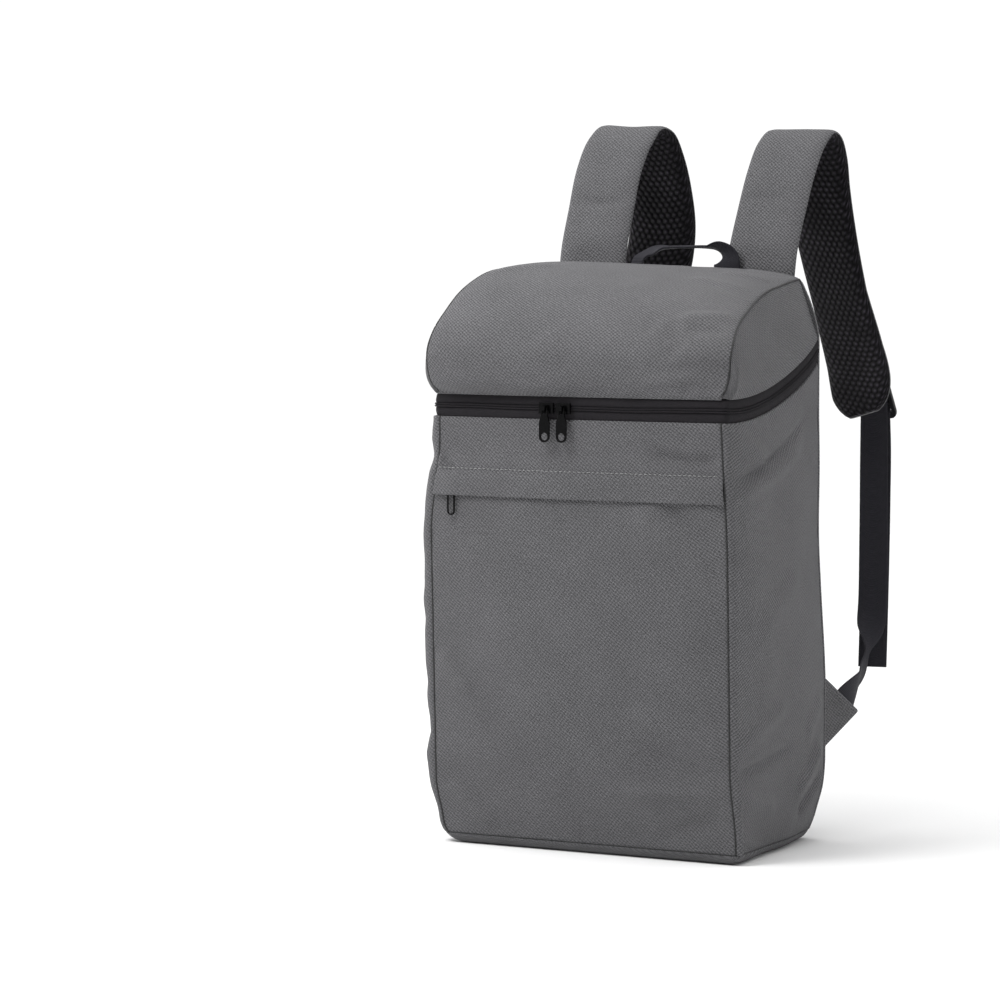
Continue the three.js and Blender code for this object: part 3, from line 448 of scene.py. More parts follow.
def panel(node, surface, size, edges, thick, settle, seed, folds=(), shape=None, spacing=3.0):
    """A sewn panel. surface gives points from shares across and up, edges are the rolls at the
    left, right, bottom and top, and settle is the cloth's pressure, growth and largest move."""
    wide, tall = size
    across, up = graded(wide, spacing), graded(tall, spacing)
    u, v = np.meshgrid(across, up)
    base = surface(u, v)
    field = 0
    steps = [np.linspace(0, 1, max(4, round(side / SETTLE_SPACING)) + 1) for side in size]
    coarse = surface(*np.meshgrid(*steps))
    way = -1 if turned_in(coarse, grid_normals(coarse)) else 1
    moved = settled(coarse[:, ::way], *settle)[:, ::way]
    field = np.swapaxes(spread(np.swapaxes(spread(moved, up), 0, 1), across), 0, 1)
    normals = grid_normals(base)
    if turned_in(base, normals):
        normals = -normals
    x, y = running(base, 1), running(base, 0)
    sides = [x, x[:, -1:] - x, y, y[-1:] - y]
    nearest = np.minimum.reduce(sides)
    rise = creases(u, v, size, folds) + RIPPLE * soft_noise(x, y, RIPPLE_SIZE, seed)
    gathers = soft_noise(x, y, GATHER_SIZE, seed + 1) * np.exp(-nearest / GATHER_SIZE) * PUCKER
    free = ease(nearest / 6)
    rise = rise * free + gathers * ease(nearest / 2)
    if shape is not None:
        rise = rise + shape(u, v, x, y)
    for distance, (drop, radius) in zip(sides, edges):
        rise = rise - edge_roll(distance, drop, radius)
    outer = body_shape(base + field + normals * rise[..., None])
    inner = body_shape(base - normals * thick)
    piece = shell(f"{node}_cloth", outer, inner, GREY, nodes=[node])


# Node-based materials


def wire(tree, kind, inputs, **settings):
    """Adds a node, with its inputs set to values or linked from other nodes' outputs."""
    node = tree.nodes.new(kind)
    for name, value in settings.items():
        setattr(node, name, value)
    for key, value in inputs.items():
        if isinstance(value, bpy.types.NodeSocket):
            tree.links.new(value, node.inputs[key])
        else:
            node.inputs[key].default_value = value
    return node


def calc(tree, operation, *values):
    return wire(tree, "ShaderNodeMath", dict(enumerate(values)), operation=operation).outputs[0]


def times(tree, one, two):
    return calc(tree, "MULTIPLY", one, two)


def plus(tree, one, two):
    return calc(tree, "ADD", one, two)


def remap(tree, value, low, high, start, end):
    inputs = {0: value, 1: low, 2: high, 3: start, 4: end}
    return wire(tree, "ShaderNodeMapRange", inputs).outputs[0]


def new_look(name, roughness, sheen=0.0, specular=0.5):
    material = bpy.data.materials.new(name)
    material.use_nodes = True
    tree = material.node_tree
    shader = tree.nodes["Principled BSDF"]
    shader.inputs["Roughness"].default_value = roughness
    shader.inputs["Sheen Weight"].default_value = sheen
    shader.inputs["Specular IOR Level"].default_value = specular
    return material, tree, shader


def cloth_place(tree):
    """The place on the cloth in millimetres, as a vector and its two parts."""
    vector = wire(tree, "ShaderNodeUVMap", {}, uv_map="cloth").outputs[0]
    parts = wire(tree, "ShaderNodeSeparateXYZ", {0: vector})
    return vector, parts.outputs[0], parts.outputs[1]


def wave(tree, distance, pitch):
    return calc(tree, "SINE", times(tree, distance, 2 * math.pi / pitch))


def noise(tree, vector, scale, detail=2.0):
    inputs = {"Vector": vector, "Scale": scale, "Detail": detail}
    return wire(tree, "ShaderNodeTexNoise", inputs).outputs[0]


def paint(tree, shader, colour, tone, height, depth):
    """Gives a shader a colour that a tone darkens or lightens, and a bump of a depth in metres."""
    grey = wire(tree, "ShaderNodeVectorMath", {0: colour, 3: tone}, operation="SCALE").outputs[0]
    tree.links.new(grey, shader.inputs["Base Color"])
    bump = wire(tree, "ShaderNodeBump", {"Height": height, "Distance": depth, "Strength": 1.0})
    tree.links.new(bump.outputs[0], shader.inputs["Normal"])


WEAVE_WIDE = 3.6
WEAVE_TALL = 2.7


def woven_grey():
    """Grey cloth with a small diamond weave in lighter and darker yarns."""
    material, tree, shader = new_look("grey_weave", 0.8, sheen=0.08, specular=0.25)
    vector, x, y = cloth_place(tree)
    tall = plus(tree, y, times(tree, noise(tree, vector, 0.3, 1.0), 2.4))
    rising = wave(tree, plus(tree, x, times(tree, tall, WEAVE_WIDE / WEAVE_TALL)), WEAVE_WIDE)
    falling = wave(tree, calc(tree, "SUBTRACT", x, times(tree, tall, 0.8)), WEAVE_WIDE)
    yarn = noise(tree, vector, 1.2, 1.5)
    cloud = noise(tree, vector, 0.02, 3.0)
    crossed = plus(tree, rising, times(tree, falling, 0.55))
    relief = plus(tree, crossed, times(tree, yarn, 2.6))
    tone = remap(tree, relief, -0.3, 3.0, 0.52, 1.50)
    tone = times(tree, tone, remap(tree, cloud, 0.3, 0.7, 0.93, 1.07))
    paint(tree, shader, (0.117, 0.116, 0.122), tone, relief, 0.00025)
    return material


def ribbed(name, colour, pitch, roughness, across=False):
    """Black tape or webbing with fine ribs across its length and a twill over them."""
    material, tree, shader = new_look(name, roughness, specular=0.16)
    vector, x, y = cloth_place(tree)
    ribs = wave(tree, x if across else y, pitch)
    twill = wave(tree, plus(tree, x, y), pitch * 0.8)
    relief = plus(tree, ribs, times(tree, twill, 0.6))
    tone = remap(tree, relief, -1.6, 1.6, 0.7, 1.3)
    tone = times(tree, tone, remap(tree, noise(tree, vector, 0.4), 0.3, 0.7, 0.9, 1.1))
    paint(tree, shader, colour, tone, relief, 0.0001)
    return material


MESH_PITCH = 6.0


def air_mesh():
    """Black spacer mesh: rows of round cells, each row half a cell on from the last."""
    material, tree, shader = new_look("air_mesh", 0.6, specular=0.12)
    vector, x, y = cloth_place(tree)
    tall = MESH_PITCH * 1.6

    def to_centre(shift_x, shift_y):
        dx = calc(tree, "PINGPONG", plus(tree, x, shift_x), MESH_PITCH / 2)
        dy = calc(tree, "PINGPONG", plus(tree, y, shift_y), tall / 2)
        return calc(tree, "SQRT", plus(tree, times(tree, dx, dx), times(tree, dy, dy)))

    near = calc(tree, "MINIMUM", to_centre(0, 0), to_centre(MESH_PITCH / 2, tall / 2))
    dome = remap(tree, near, 0.3, MESH_PITCH * 0.5, 1.0, 0.0)
    fuzz = noise(tree, vector, 2.2)
    patch = remap(tree, noise(tree, vector, 0.035), 0.35, 0.65, 0.5, 1.5)
    dots = times(tree, calc(tree, "POWER", dome, 2.0), times(tree, patch, 4.6))
    tone = plus(tree, dots, 0.5)
    tone = times(tree, tone, remap(tree, fuzz, 0.3, 0.7, 0.75, 1.25))
    paint(tree, shader, (0.0080, 0.0071, 0.0090), tone, dome, 0.0012)
    return material


def plain_finish(name, colour, roughness, grain):
    """Moulded plastic or painted metal with a fine grain."""
    material, tree, shader = new_look(name, roughness, specular=0.12)
    vector = wire(tree, "ShaderNodeTexCoord", {}).outputs["Object"]
    fine = noise(tree, vector, grain)
    wear = remap(tree, noise(tree, vector, grain / 12), 0.35, 0.7, 0.85, 1.25)
    paint(tree, shader, colour, wear, fine, 0.00002)
    rough = remap(tree, fine, 0.3, 0.7, roughness * 0.8, roughness * 1.2)
    tree.links.new(rough, shader.inputs["Roughness"])
    return material


def thread_look(name, colour):
    material, tree, shader = new_look(name, 0.6, sheen=0.1)
    vector, x, y = cloth_place(tree)
    twist = wave(tree, plus(tree, x, y), 0.5)
    paint(tree, shader, colour, remap(tree, twist, -1, 1, 0.8, 1.15), twist, 0.00005)
    return material


GREY = (woven_grey(), "grey_fabric")
TAPE = (ribbed("zip_tape", (0.0192, 0.0174, 0.0202), 0.9, 0.8, across=True), "zip_cloth")
RIBBED = (ribbed("webbing_ribs", (0.0255, 0.0248, 0.0310), 1.5, 0.65), "black_webbing")
MESH = (air_mesh(), "black_mesh")
PLASTIC = (plain_finish("moulded_black", (0.006, 0.006, 0.007), 0.42, 1500), "black_plastic")
METAL = (plain_finish("painted_black", (0.0015, 0.0015, 0.0018), 0.22, 900), "black_metal")
# The dark thread colour is real in the corner stitches; in the seam cord it also paints the shade in
# the seams
DARK_THREAD_AND_SEAM_SHADE = (thread_look("dark_thread_and_seam_shade", (0.018, 0.018, 0.019)), "grey_fabric")
PALE_THREAD = (thread_look("pale_thread", (0.34, 0.34, 0.345)), "grey_fabric")
GREY_THREAD = (thread_look("grey_thread", (0.17, 0.17, 0.175)), "grey_fabric")

# Threads: a cord laid in a seam, dark for the seam thread and for painted shade in the seam, and rows
# of separate stitches

TUBE_SIDES = 8


def tube_faces(rings, sides, first):
    faces = []
    for ring in range(rings - 1):
        for k in range(sides):
            a, b = ring * sides + k, ring * sides + (k + 1) % sides
            faces.append([first + a, first + b, first + b + sides, first + a + sides])
    faces.append([first + k for k in reversed(range(sides))])
    faces.append([first + (rings - 1) * sides + k for k in range(sides)])
    return faces


def tube_rings(path, radii, sides):
    """Rings of points round a path, with their places on the thread."""
    path = np.asarray(path, float)
    along = unit(np.gradient(path, axis=0))
    helper = np.where(np.abs(along[:, 2:3]) < 0.8, UP, np.array([1.0, 0.0, 0.0]))
    one = unit(np.cross(along, helper))
    two = np.cross(along, one)
    angle = np.linspace(0, 2 * math.pi, sides, endpoint=False)[None, :, None]
    radii = np.broadcast_to(radii, len(path))[:, None, None]
    rings = path[:, None] + radii * (np.cos(angle) * one[:, None] + np.sin(angle) * two[:, None])
    run = running(path, 0)
    turn = np.arange(sides) / sides * 2 * math.pi
    uv = np.stack(np.broadcast_arrays(turn[None, :], run[:, None]), axis=-1)
    return rings.reshape(-1, 3), uv.reshape(-1, 2)


def threads(name, paths, radii, look, sides=TUBE_SIDES):
    """One piece made of several tubes."""
    points, places, faces, first = [], [], [], 0
    for path in paths:
        rings, uv = tube_rings(path, radii, sides)
        points.append(rings)
        places.append(uv)
        faces += tube_faces(len(path), sides, first)
        first += len(rings)
    mesh = make_mesh(name, np.concatenate(points), faces, np.concatenate(places), 70)
    return dress(mesh, name, *look)


STITCH_SIDES = 6
STITCH_SHARES = np.array([0, 0.12, 0.5, 0.88, 1])
STITCH_RADII = np.array([0.35, 0.9, 1.0, 0.9, 0.35])
STITCH_DIP = np.array([0.9, 0.25, 0, 0.25, 0.9])


def stitch_row(name, line, normals, length, gap, radius, look):
    """Stitches of one length along a line, each dipping into the cloth at its two ends."""
    line, normals = np.asarray(line, float), np.asarray(normals, float)
    run = running(line, 0)
    read = lambda values, at: np.stack([np.interp(at, run, values[:, k]) for k in range(3)], -1)
    paths = []
    for start in np.arange(gap / 2, run[-1] - length, length + gap):
        at = start + STITCH_SHARES * length
        dip = (STITCH_DIP * radius * 1.5)[:, None]
        paths.append(read(line, at) - read(normals, at) * dip)
    threads(name, paths, STITCH_RADII * radius, look, STITCH_SIDES)


# The walls

SEAM_TRIM = GAP / 2 / CORNER_RADIUS * 2 / math.pi
SIDE_SHARE = BAG_DEPTH / (BAG_DEPTH + CORNER_RADIUS * math.pi / 2)
BASE_LINE = BASE_RIM + GAP
BAND_HALF = ZIP_BAND / 2


def side_travel(u):
    turned = 1 + (u - SIDE_SHARE) / (1 - SIDE_SHARE) * (1 - SEAM_TRIM)
    return np.where(u < SIDE_SHARE, u / SIDE_SHARE, turned)


def side_surface(side):
    def surface(u, v):
        travel = side_travel(u)
        z = mix(BASE_LINE, zip_height(travel, -BAND_HALF - GAP), v)
        return side_point(side, travel, z)
    return surface


# The left side stands out in a puffy strip behind the corner seam, drawn in where it is tucked:
# rows of a height and how far the strip stands out there
LEFT_STRIP = [
    (8, 0.0), (30, 1.0), (55, 4.0), (74, 6.5), (93, 2.5), (112, 4.5), (150, 5.5), (200, 6.0),
    (240, 5.5), (290, 5.5), (316, 4.5), (328, 2.0), (342, 5.0), (361, 3.0),
]
STRIP_AT = 13
STRIP_WIDE = 11


def left_strip(u, v, x, y):
    z = mix(BASE_LINE, ZIP_HEIGHT - BAND_HALF, v)
    out = np.interp(z, *np.transpose(LEFT_STRIP))
    behind = x[:, -1:] - x
    ripple = 1 + 0.18 * soft_noise(behind, z, 17, 31)
    return out * ripple * bell(behind, STRIP_AT, STRIP_WIDE) * ease(behind / 7)


SIDE_SIZE = (179, 355)
RIGHT_FOLDS = [
    (0.04, 0.20, 0.36, 0.10, 7, 2.6), (0.02, 0.13, 0.30, 0.05, 6, -2.2),
    (0.05, 0.30, 0.28, 0.22, 9, 1.6), (1.02, 0.86, 0.12, 0.93, 4, -2.0),
    (1.02, 0.83, 0.20, 0.88, 7, 2.2), (0.62, 0.89, 0.98, 0.98, 7, 1.6),
    (1.02, 0.24, 0.45, 0.33, 8, 1.8), (1.02, 0.19, 0.40, 0.22, 5, -2.0),
    (1.02, 0.15, 0.55, 0.08, 7, 2.0), (0.30, 0.62, 0.80, 0.50, 14, 1.4),
]
LEFT_FOLDS = [
    (0.10, 0.25, 0.45, 0.12, 8, 2.0), (0.55, 0.90, 0.95, 0.80, 8, 1.5),
]
SIDE_EDGES = [SEAM, SEAM, SEAM, HEM]

SIDE_SETTLE = (1.2, 0.001, 3.0)

panel("side_panel_right", side_surface(1), SIDE_SIZE, SIDE_EDGES, WALL, SIDE_SETTLE, 11,
      folds=RIGHT_FOLDS)
panel("side_panel_left", side_surface(-1), SIDE_SIZE, SIDE_EDGES, WALL, SIDE_SETTLE, 17,
      folds=LEFT_FOLDS, shape=left_strip)

FRONT_EDGE = 1 - GAP / 2 / (BAG_WIDTH / 2)
FRONT_WIDE = 268


def front_surface(low, high, proud):
    def surface(u, v):
        share = mix(-FRONT_EDGE, FRONT_EDGE, u)
        z = mix(low, high, v)
        point = front_point(share, z)
        point[..., 1] -= proud(share, z)
        return point
    return surface


def pocket_proud(share, z):
    level = (z - BASE_LINE) / (POCKET_TOP - BASE_LINE)
    return POCKET_PUFF * np.sin(math.pi * level) * (1 - share**4)


POCKET_FOLDS = [
    (0.03, 0.16, 0.20, 0.03, 9, 1.2), (0.68, 0.99, 0.98, 0.78, 12, 1.8),
    (0.78, 0.99, 0.99, 0.88, 7, -1.4), (1.02, 0.26, 0.66, 0.40, 8, 1.8),
    (1.02, 0.21, 0.70, 0.29, 5, -1.6), (1.02, 0.17, 0.62, 0.16, 7, 1.9),
    (0.99, 0.11, 0.74, 0.03, 7, -1.2), (0.02, 0.55, 0.12, 0.40, 8, 1.0),
]
panel("pocket_panel", front_surface(BASE_LINE, POCKET_TOP, pocket_proud), (FRONT_WIDE, 292),
      [SEAM, SEAM, SEAM, CUT], CLOTH, (0.6, 0.0006, 1.6), 23, folds=POCKET_FOLDS)

# The flap is held by the stitch line above, hangs over the pocket's zip, and lifts over its slider
FLAP_PROUD = 3.4
SLIDER_LIFT = 1.5
VALLEY_DEPTH = 0.7


def flap_proud(share, z):
    drop = (FLAP_STITCH - z) / (FLAP_STITCH - FLAP_EDGE)
    below = 0.55 + 0.45 * ease(drop * 2.2)
    above = 0.55 * (1 - ease(-drop * 1.4))
    x = share * (half_width(z) - CORNER_RADIUS)
    lift = SLIDER_LIFT * bell(x, POCKET_SLIDER_X, 12) * ease(drop * 3)
    return FLAP_PROUD * np.where(drop > 0, below, above) + lift


def stitch_valley(u, v, x, y):
    return -VALLEY_DEPTH * bell(mix(FLAP_EDGE, ZIP_HEIGHT - BAND_HALF, v), FLAP_STITCH, 1.6)


UPPER_FOLDS = [
    (0.66, 0.90, 0.98, 0.58, 6, 1.5), (0.74, 0.62, 1.01, 0.52, 3, -1.2),
    (0.01, 0.48, 0.07, 0.34, 3, -1.2),
]
upper_surface = front_surface(FLAP_EDGE, ZIP_HEIGHT - BAND_HALF - GAP, flap_proud)
panel("front_upper_panel", upper_surface, (FRONT_WIDE, 66), [SEAM, SEAM, HEM, HEM], CLOTH,
      (0.3, 0.0004, 0.3), 29, folds=UPPER_FOLDS, shape=stitch_valley, spacing=2.4)

stitch_x = np.linspace(-0.985, 0.985, 200)
stitch_z = np.full_like(stitch_x, FLAP_STITCH)
flap_line = front_point(stitch_x, stitch_z)
flap_line[:, 1] -= flap_proud(stitch_x, stitch_z) + 0.1
outward = np.tile([0.0, -1.0, 0.0], (len(stitch_x), 1))
stitch_row("flap_stitches", body_shape(flap_line), outward, 2.9, 1.4, 0.38, PALE_THREAD)

# The wall and the zip behind the flap keep their shapes from the part

for name, look in (("front_wall", GREY), ("pocket_zip", TAPE)):
    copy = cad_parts[name].data.copy()
    copy.materials.clear()
    layer = copy.uv_layers.new(name="cloth")
    corners = np.zeros(len(copy.loops), int)
    copy.loops.foreach_get("vertex_index", corners)
    spots = np.array([vertex.co for vertex in copy.vertices]) / MM
    layer.data.foreach_set("uv", spots[corners][:, [0, 2]].astype(np.float32).ravel())
    dress(copy, f"{name}_cloth", *look, nodes=[name])

# The base: a flat bottom with a rounded edge up to the walls' seam

PLAN_STEP = 5


def plan_loop(inset):
    """The plan outline, inset, as points a few millimetres apart."""
    wide = half_width(BASE_RIM) - inset
    near, far = front_y(BASE_RIM) + inset, BACK_Y - inset
    corners = [(wide, near, -90), (wide, far, 0), (-wide, far, 90), (-wide, near, 180)]
    outline = []
    for x, y, start in corners:
        cx, cy = x - math.copysign(BASE_CORNER, x), y - math.copysign(BASE_CORNER, y)
        for angle in np.radians(np.linspace(start, start + 90, 9)):
            outline.append((cx + BASE_CORNER * math.cos(angle), cy + BASE_CORNER * math.sin(angle)))
    outline = np.array(outline + outline[:1])
    run = running(outline, 0)
    at = np.linspace(0, run[-1], round(2 * (BAG_WIDTH + BAG_DEPTH) / PLAN_STEP) + 1)
    return np.stack([np.interp(at, run, outline[:, k]) for k in range(2)], axis=-1)


def bottom_rings(z):
    """Rings of the flat bottom at a height, out to where its edge starts to turn up."""
    x, y = plan_loop(BASE_RIM).T
    return [place(x * share, y * share, z) for share in (0.02, 0.5, 0.9)]


def edge_rings(radius, swell):
    """Rings of the rounded edge, from the flat bottom up to the walls' seam."""
    rings = []
    for angle in np.radians(np.linspace(0, 90, 10)):
        x, y = plan_loop(BASE_RIM - radius * math.sin(angle) - swell * math.sin(angle) ** 4).T
        rings.append(place(x, y, BASE_RIM - radius * math.cos(angle)))
    return rings


outer_rings = np.array(bottom_rings(0.0) + edge_rings(BASE_RIM, 0.6))
inner_rings = np.array(bottom_rings(WALL) + edge_rings(BASE_RIM - WALL, 0))
base = shell("base_panel_cloth", body_shape(outer_rings), body_shape(inner_rings), GREY,
             nodes=["base_panel"])

# The lid: seam rows as shares of the depth forward of the back, of the lid's rise and of its taper

LID_LEFT_SEAM = [
    (1.0, 0, 0.34), (1.0, 0.03, 0.28), (1.04, 0.1, 0.14), (1.065, 0.24, 0.06), (1.065, 0.4, 0.06),
    (1.025, 0.57, 0.2), (0.955, 0.72, 0.4), (0.86, 0.88, 0.62), (0.73, 1.0, 0.8), (0.59, 1.07, 0.9),
    (0.3, 1.09, 0.96), (0, 1.07, 1),
]
LID_RIGHT_SEAM = [
    (1.0, 0, 0.34), (1.0, 0.03, 0.3), (0.975, 0.1, 0.2), (0.95, 0.24, 0.14), (0.945, 0.36, 0.12),
    (0.92, 0.46, 0.14), (0.82, 0.62, 0.34), (0.63, 0.775, 0.6), (0.41, 0.9, 0.83),
    (0.24, 0.95, 0.89), (0.1, 0.985, 0.95), (0, 1.0, 1),
]
LID_BASE = ZIP_HEIGHT + BAND_HALF + GAP
LID_BACK_Y = BACK_Y - BACK_WALL - GAP
LID_DEPTH = LID_BACK_Y - front_y(LID_BASE)
LID_SIDE_FROM = 0.05
LID_SIDE_BULGE = 5


def seam_points(rows, side):
    wide = half_width(LID_BASE)
    return [(side * (wide - LID_TAPER * taper), LID_BACK_Y - LID_DEPTH * forward,
             LID_BASE + LID_RISE * rise) for forward, rise, taper in rows]


LEFT_SEAM = seam_points(LID_LEFT_SEAM, -1)
RIGHT_SEAM = seam_points(LID_RIGHT_SEAM, 1)
CURVE_STEP = 0.002


def tangent(rows, shares):
    ahead = curve(rows, np.minimum(shares + CURVE_STEP, 1))
    return unit(ahead - curve(rows, np.maximum(shares - CURVE_STEP, 0)))


def under_lid(run):
    """Directions into the lid at a right angle to a run that goes up its front and back."""
    return unit(place(0 * run[..., 0], run[..., 2], -run[..., 1]))


def lid_point(across, along):
    part = np.expand_dims((across + 1) / 2, -1)
    point = mix(curve(LEFT_SEAM, along), curve(RIGHT_SEAM, along), part)
    run = mix(tangent(LEFT_SEAM, along), tangent(RIGHT_SEAM, along), part)
    puff = LID_PUFF * (1 - across**6) * ease(along * 4)
    point = point - under_lid(run) * np.expand_dims(puff, -1)
    point[..., 1] -= FRONT_CROWN * (1 - across**2) * (1 - ease(along * 1.6))
    return point


LID_SHARES = even_shares(RIGHT_SEAM, 1.0)


def lid_surface(u, v):
    along = np.interp(v, np.linspace(0, 1, len(LID_SHARES)), LID_SHARES)
    return lid_point(mix(-1.0, 1.0, u), along)


LID_FOLDS = [
    (0.80, 0.30, 0.985, 0.36, 7, 1.6), (0.84, 0.25, 0.985, 0.27, 5, -1.2),
    (0.72, 0.70, 0.97, 0.60, 7, 1.2), (0.78, 0.82, 0.985, 0.78, 5, 1.4),
    (0.80, 0.90, 0.98, 0.93, 5, -1.0), (0.60, 0.02, 0.96, 0.10, 8, 1.0),
    (0.03, 0.72, 0.25, 0.80, 8, 1.0),
]
LID_EDGES = [SEAM, SEAM, HEM, SEAM]
panel("lid_panel", lid_surface, (264, 250), LID_EDGES, WALL, (1.5, 0.0015, 3.5), 37,
      folds=LID_FOLDS)


def lid_side_surface(side, seam):
    run = LID_BACK_Y - (front_y(ZIP_HEIGHT) + CORNER_RADIUS)

    def surface(u, v):
        along = mix(LID_SIDE_FROM, 1.0, u)
        top = curve(seam, along) + under_lid(tangent(seam, along)) * GAP * 1.4
        top[..., 1] = np.minimum(top[..., 1], LID_BACK_Y)
        travel = np.clip((LID_BACK_Y - top[..., 1]) / run, 0, 1)
        foot = side_point(side, travel, zip_height(travel, BAND_HALF + GAP))
        point = mix(foot, top, np.expand_dims(v, -1))
        tall = top[..., 2] - foot[..., 2]
        bulge = LID_SIDE_BULGE * np.sin(math.pi * v) * ease(tall / LID_RISE * 3)
        point[..., 0] += side * bulge * ease((1 - along) * 5)
        return point
    return surface


for hand, side, seam in (("left", -1, LEFT_SEAM), ("right", 1, RIGHT_SEAM)):
    panel(f"lid_side_{hand}", lid_side_surface(side, seam), (215, 60), LID_EDGES, WALL,
          (1.0, 0.001, 2.0), 41 + side, spacing=2.6)

# The back panel


def back_surface(u, v):
    across = mix(-1.0, 1.0, u)
    z = mix(BASE_LINE, lid_point(across, 1 + 0 * across)[..., 2], v)
    zip_back = ZIP_HEIGHT + ZIP_RISE + BAND_HALF
    share = np.clip((z - zip_back) / (LID_BASE + LID_RISE - zip_back), 0, 1)
    return place(across * (half_width(z) - LID_TAPER * share**1.6), BACK_Y, z)


panel("back_panel", back_surface, (280, 470), [CORNER, CORNER, SEAM, CORNER], BACK_WALL,
      (1.0, 0.0006, 1.2), 43, spacing=4.0)

# Dark cord lies in the seams between the panels: it is the seam thread, and its darkness is also
# painted shade in the seam valleys

SEAM_DEPTH = 0.55
SEAM_RADIUS = 0.72


def corner_seam(side):
    z = np.linspace(BASE_LINE, ZIP_HEIGHT - BAND_HALF, 120)
    line = front_point(side + 0 * z, z)
    return line + np.array([-side * SEAM_DEPTH * 0.4, SEAM_DEPTH * 0.5, 0])


def lid_seam(seam, side):
    shares = even_shares(seam, 2.5)
    shares = shares[shares > LID_SIDE_FROM * 0.6]
    line = curve(seam, shares) + under_lid(tangent(seam, shares)) * SEAM_DEPTH * 0.6
    return line + np.array([-side * SEAM_DEPTH * 0.5, 0, 0])


seam_lines = [corner_seam(-1), corner_seam(1), lid_seam(LEFT_SEAM, -1), lid_seam(RIGHT_SEAM, 1),
              place(*plan_loop(SEAM_DEPTH).T, BASE_RIM + GAP / 2)]
threads("seam_threads_and_shade", [body_shape(line) for line in seam_lines], SEAM_RADIUS, DARK_THREAD_AND_SEAM_SHADE)
for hand, side in HANDS:
    line = body_shape(corner_seam(side))
    normals = np.tile(unit(np.array([side * 0.6, -1.0, 0])), (len(line), 1))
    stitch_row(f"corner_{hand}_stitches", line + normals * 0.5, normals, 2.3, 1.5, 0.42, DARK_THREAD_AND_SEAM_SHADE)

# The zip: two tapes, and the closed coil's two rolled edges between them

ZIP_STEP = 2.5


def zip_track():
    """Points, upward directions and outward directions along the zip line, from back to back."""
    side = np.concatenate([np.linspace(0, 1, round(BAG_DEPTH / ZIP_STEP)),
                           np.linspace(1, 2, 6)[1:]])
    left = side_point(-1, side, zip_height(side))
    count = round(FRONT_WIDE / ZIP_STEP)
    front = front_point(np.linspace(-0.995, 0.995, count), np.full(count, float(ZIP_HEIGHT)))
    right = side_point(1, side[::-1], zip_height(side[::-1]))
    line = np.concatenate([left, front, right])
    along = unit(np.gradient(line, axis=0))
    for _ in range(3):
        along = unit(along + np.roll(along, 1, axis=0) * 0.5 + np.roll(along, -1, axis=0) * 0.5)
    outward = unit(np.cross(along, UP))
    upward = unit(np.cross(outward, along))
    upward = upward * np.sign(upward[:, 2:3])
    outward = outward * np.sign(np.sum(outward * line * [1, 1, 0], axis=1, keepdims=True))
    return line, upward, outward


ZIP_LINE, ZIP_UP, ZIP_OUT = zip_track()
ZIP_SLACK = 0.8 * soft_noise(np.arange(len(ZIP_LINE)) * ZIP_STEP, 0 * ZIP_LINE[:, 0], 38, 53)


def zip_strip(name, node, profile, thick):
    """A strip along the zip line. The profile's rows are places up from it and out from it."""
    rows = np.array(profile, float)
    rise = rows[:, 0] + ZIP_SLACK[:, None] * (1 - (rows[:, 0] / BAND_HALF) ** 2)
    spot = ZIP_LINE[:, None] + ZIP_UP[:, None] * rise[..., None]
    outer = spot + ZIP_OUT[:, None] * rows[None, :, 1:2]
    inner = spot + ZIP_OUT[:, None] * (rows[None, :, 1:2] - thick)
    shell(name, outer, inner, TAPE, nodes=[node], sharp_from=80)


LOWER_TAPE = [(-9.4, -1.6), (-8.6, -1.2), (-7, -0.7), (-5, -0.3), (-3.4, -0.2), (-2.2, -0.4),
              (-1.7, -0.9)]
ROLLED_EDGES = [(-1.75, -0.2), (-1.5, 0.5), (-1.05, 0.85), (-0.6, 0.75), (-0.25, 0.3), (0, -0.3),
                (0.25, 0.3), (0.6, 0.75), (1.05, 0.85), (1.5, 0.5), (1.75, -0.2)]
zip_strip("main_zip_lower_cloth", "main_zip_lower_tape", LOWER_TAPE, 1.1)
zip_strip("main_zip_upper_cloth", "main_zip_upper_tape", [(-x, y) for x, y in LOWER_TAPE[::-1]], 1.1)
zip_strip("main_zip_rolled_edges", "main_zip_coil", ROLLED_EDGES, 1.6)

# Hard pieces keep the part's shapes, with their edges rounded


def softened(node, look, radius, body="bag"):
    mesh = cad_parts[node].data.copy()
    piece = dress(mesh, f"{node}_finish", *look, nodes=[node], body=body)
    weld = piece.modifiers.new("weld", "WELD")
    weld.merge_threshold = 0.00002
    bevel = piece.modifiers.new("bevel", "BEVEL")
    bevel.width = radius * MM
    bevel.segments = 3
    bevel.limit_method = "ANGLE"
    bevel.angle_limit = math.radians(35)


for node in ("main_left_slider", "main_right_slider", "pocket_slider"):
    softened(node, METAL, 0.25)
for node in ("main_left_pull", "main_right_pull"):
    softened(node, METAL, 0.28, body=node)
for node in ("buckle_left", "buckle_right"):
    softened(node, PLASTIC, 0.7)

PULL_WIRE = 0.85
PULL_FORWARD = 2.1


def wire_pull(node):
    """The pocket's pull is a long thin ring of wire in the size of the part's own."""
    spots = np.array([vertex.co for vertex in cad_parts[node].data.vertices]) / MM
    low, high = spots.min(axis=0), spots.max(axis=0)
    half = (high[0] - low[0]) / 2 - PULL_WIRE
    turn = np.linspace(0, 2 * math.pi, 49)
    tall = (high[2] - low[2]) / 2 - PULL_WIRE - half
    x = (low[0] + high[0]) / 2 + half * np.cos(turn)
    z = (low[2] + high[2]) / 2 + half * np.sin(turn) + tall * np.sign(np.sin(turn))
    path = place(x, (low[1] + high[1]) / 2 - PULL_FORWARD, z)
    closed = np.vstack([path, path[:1]])
    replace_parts(threads(f"{node}_wire", [closed], PULL_WIRE, METAL), node)


wire_pull("pocket_pull")

# Bands: straps, webbing and the handle, each along a route of points and directions across


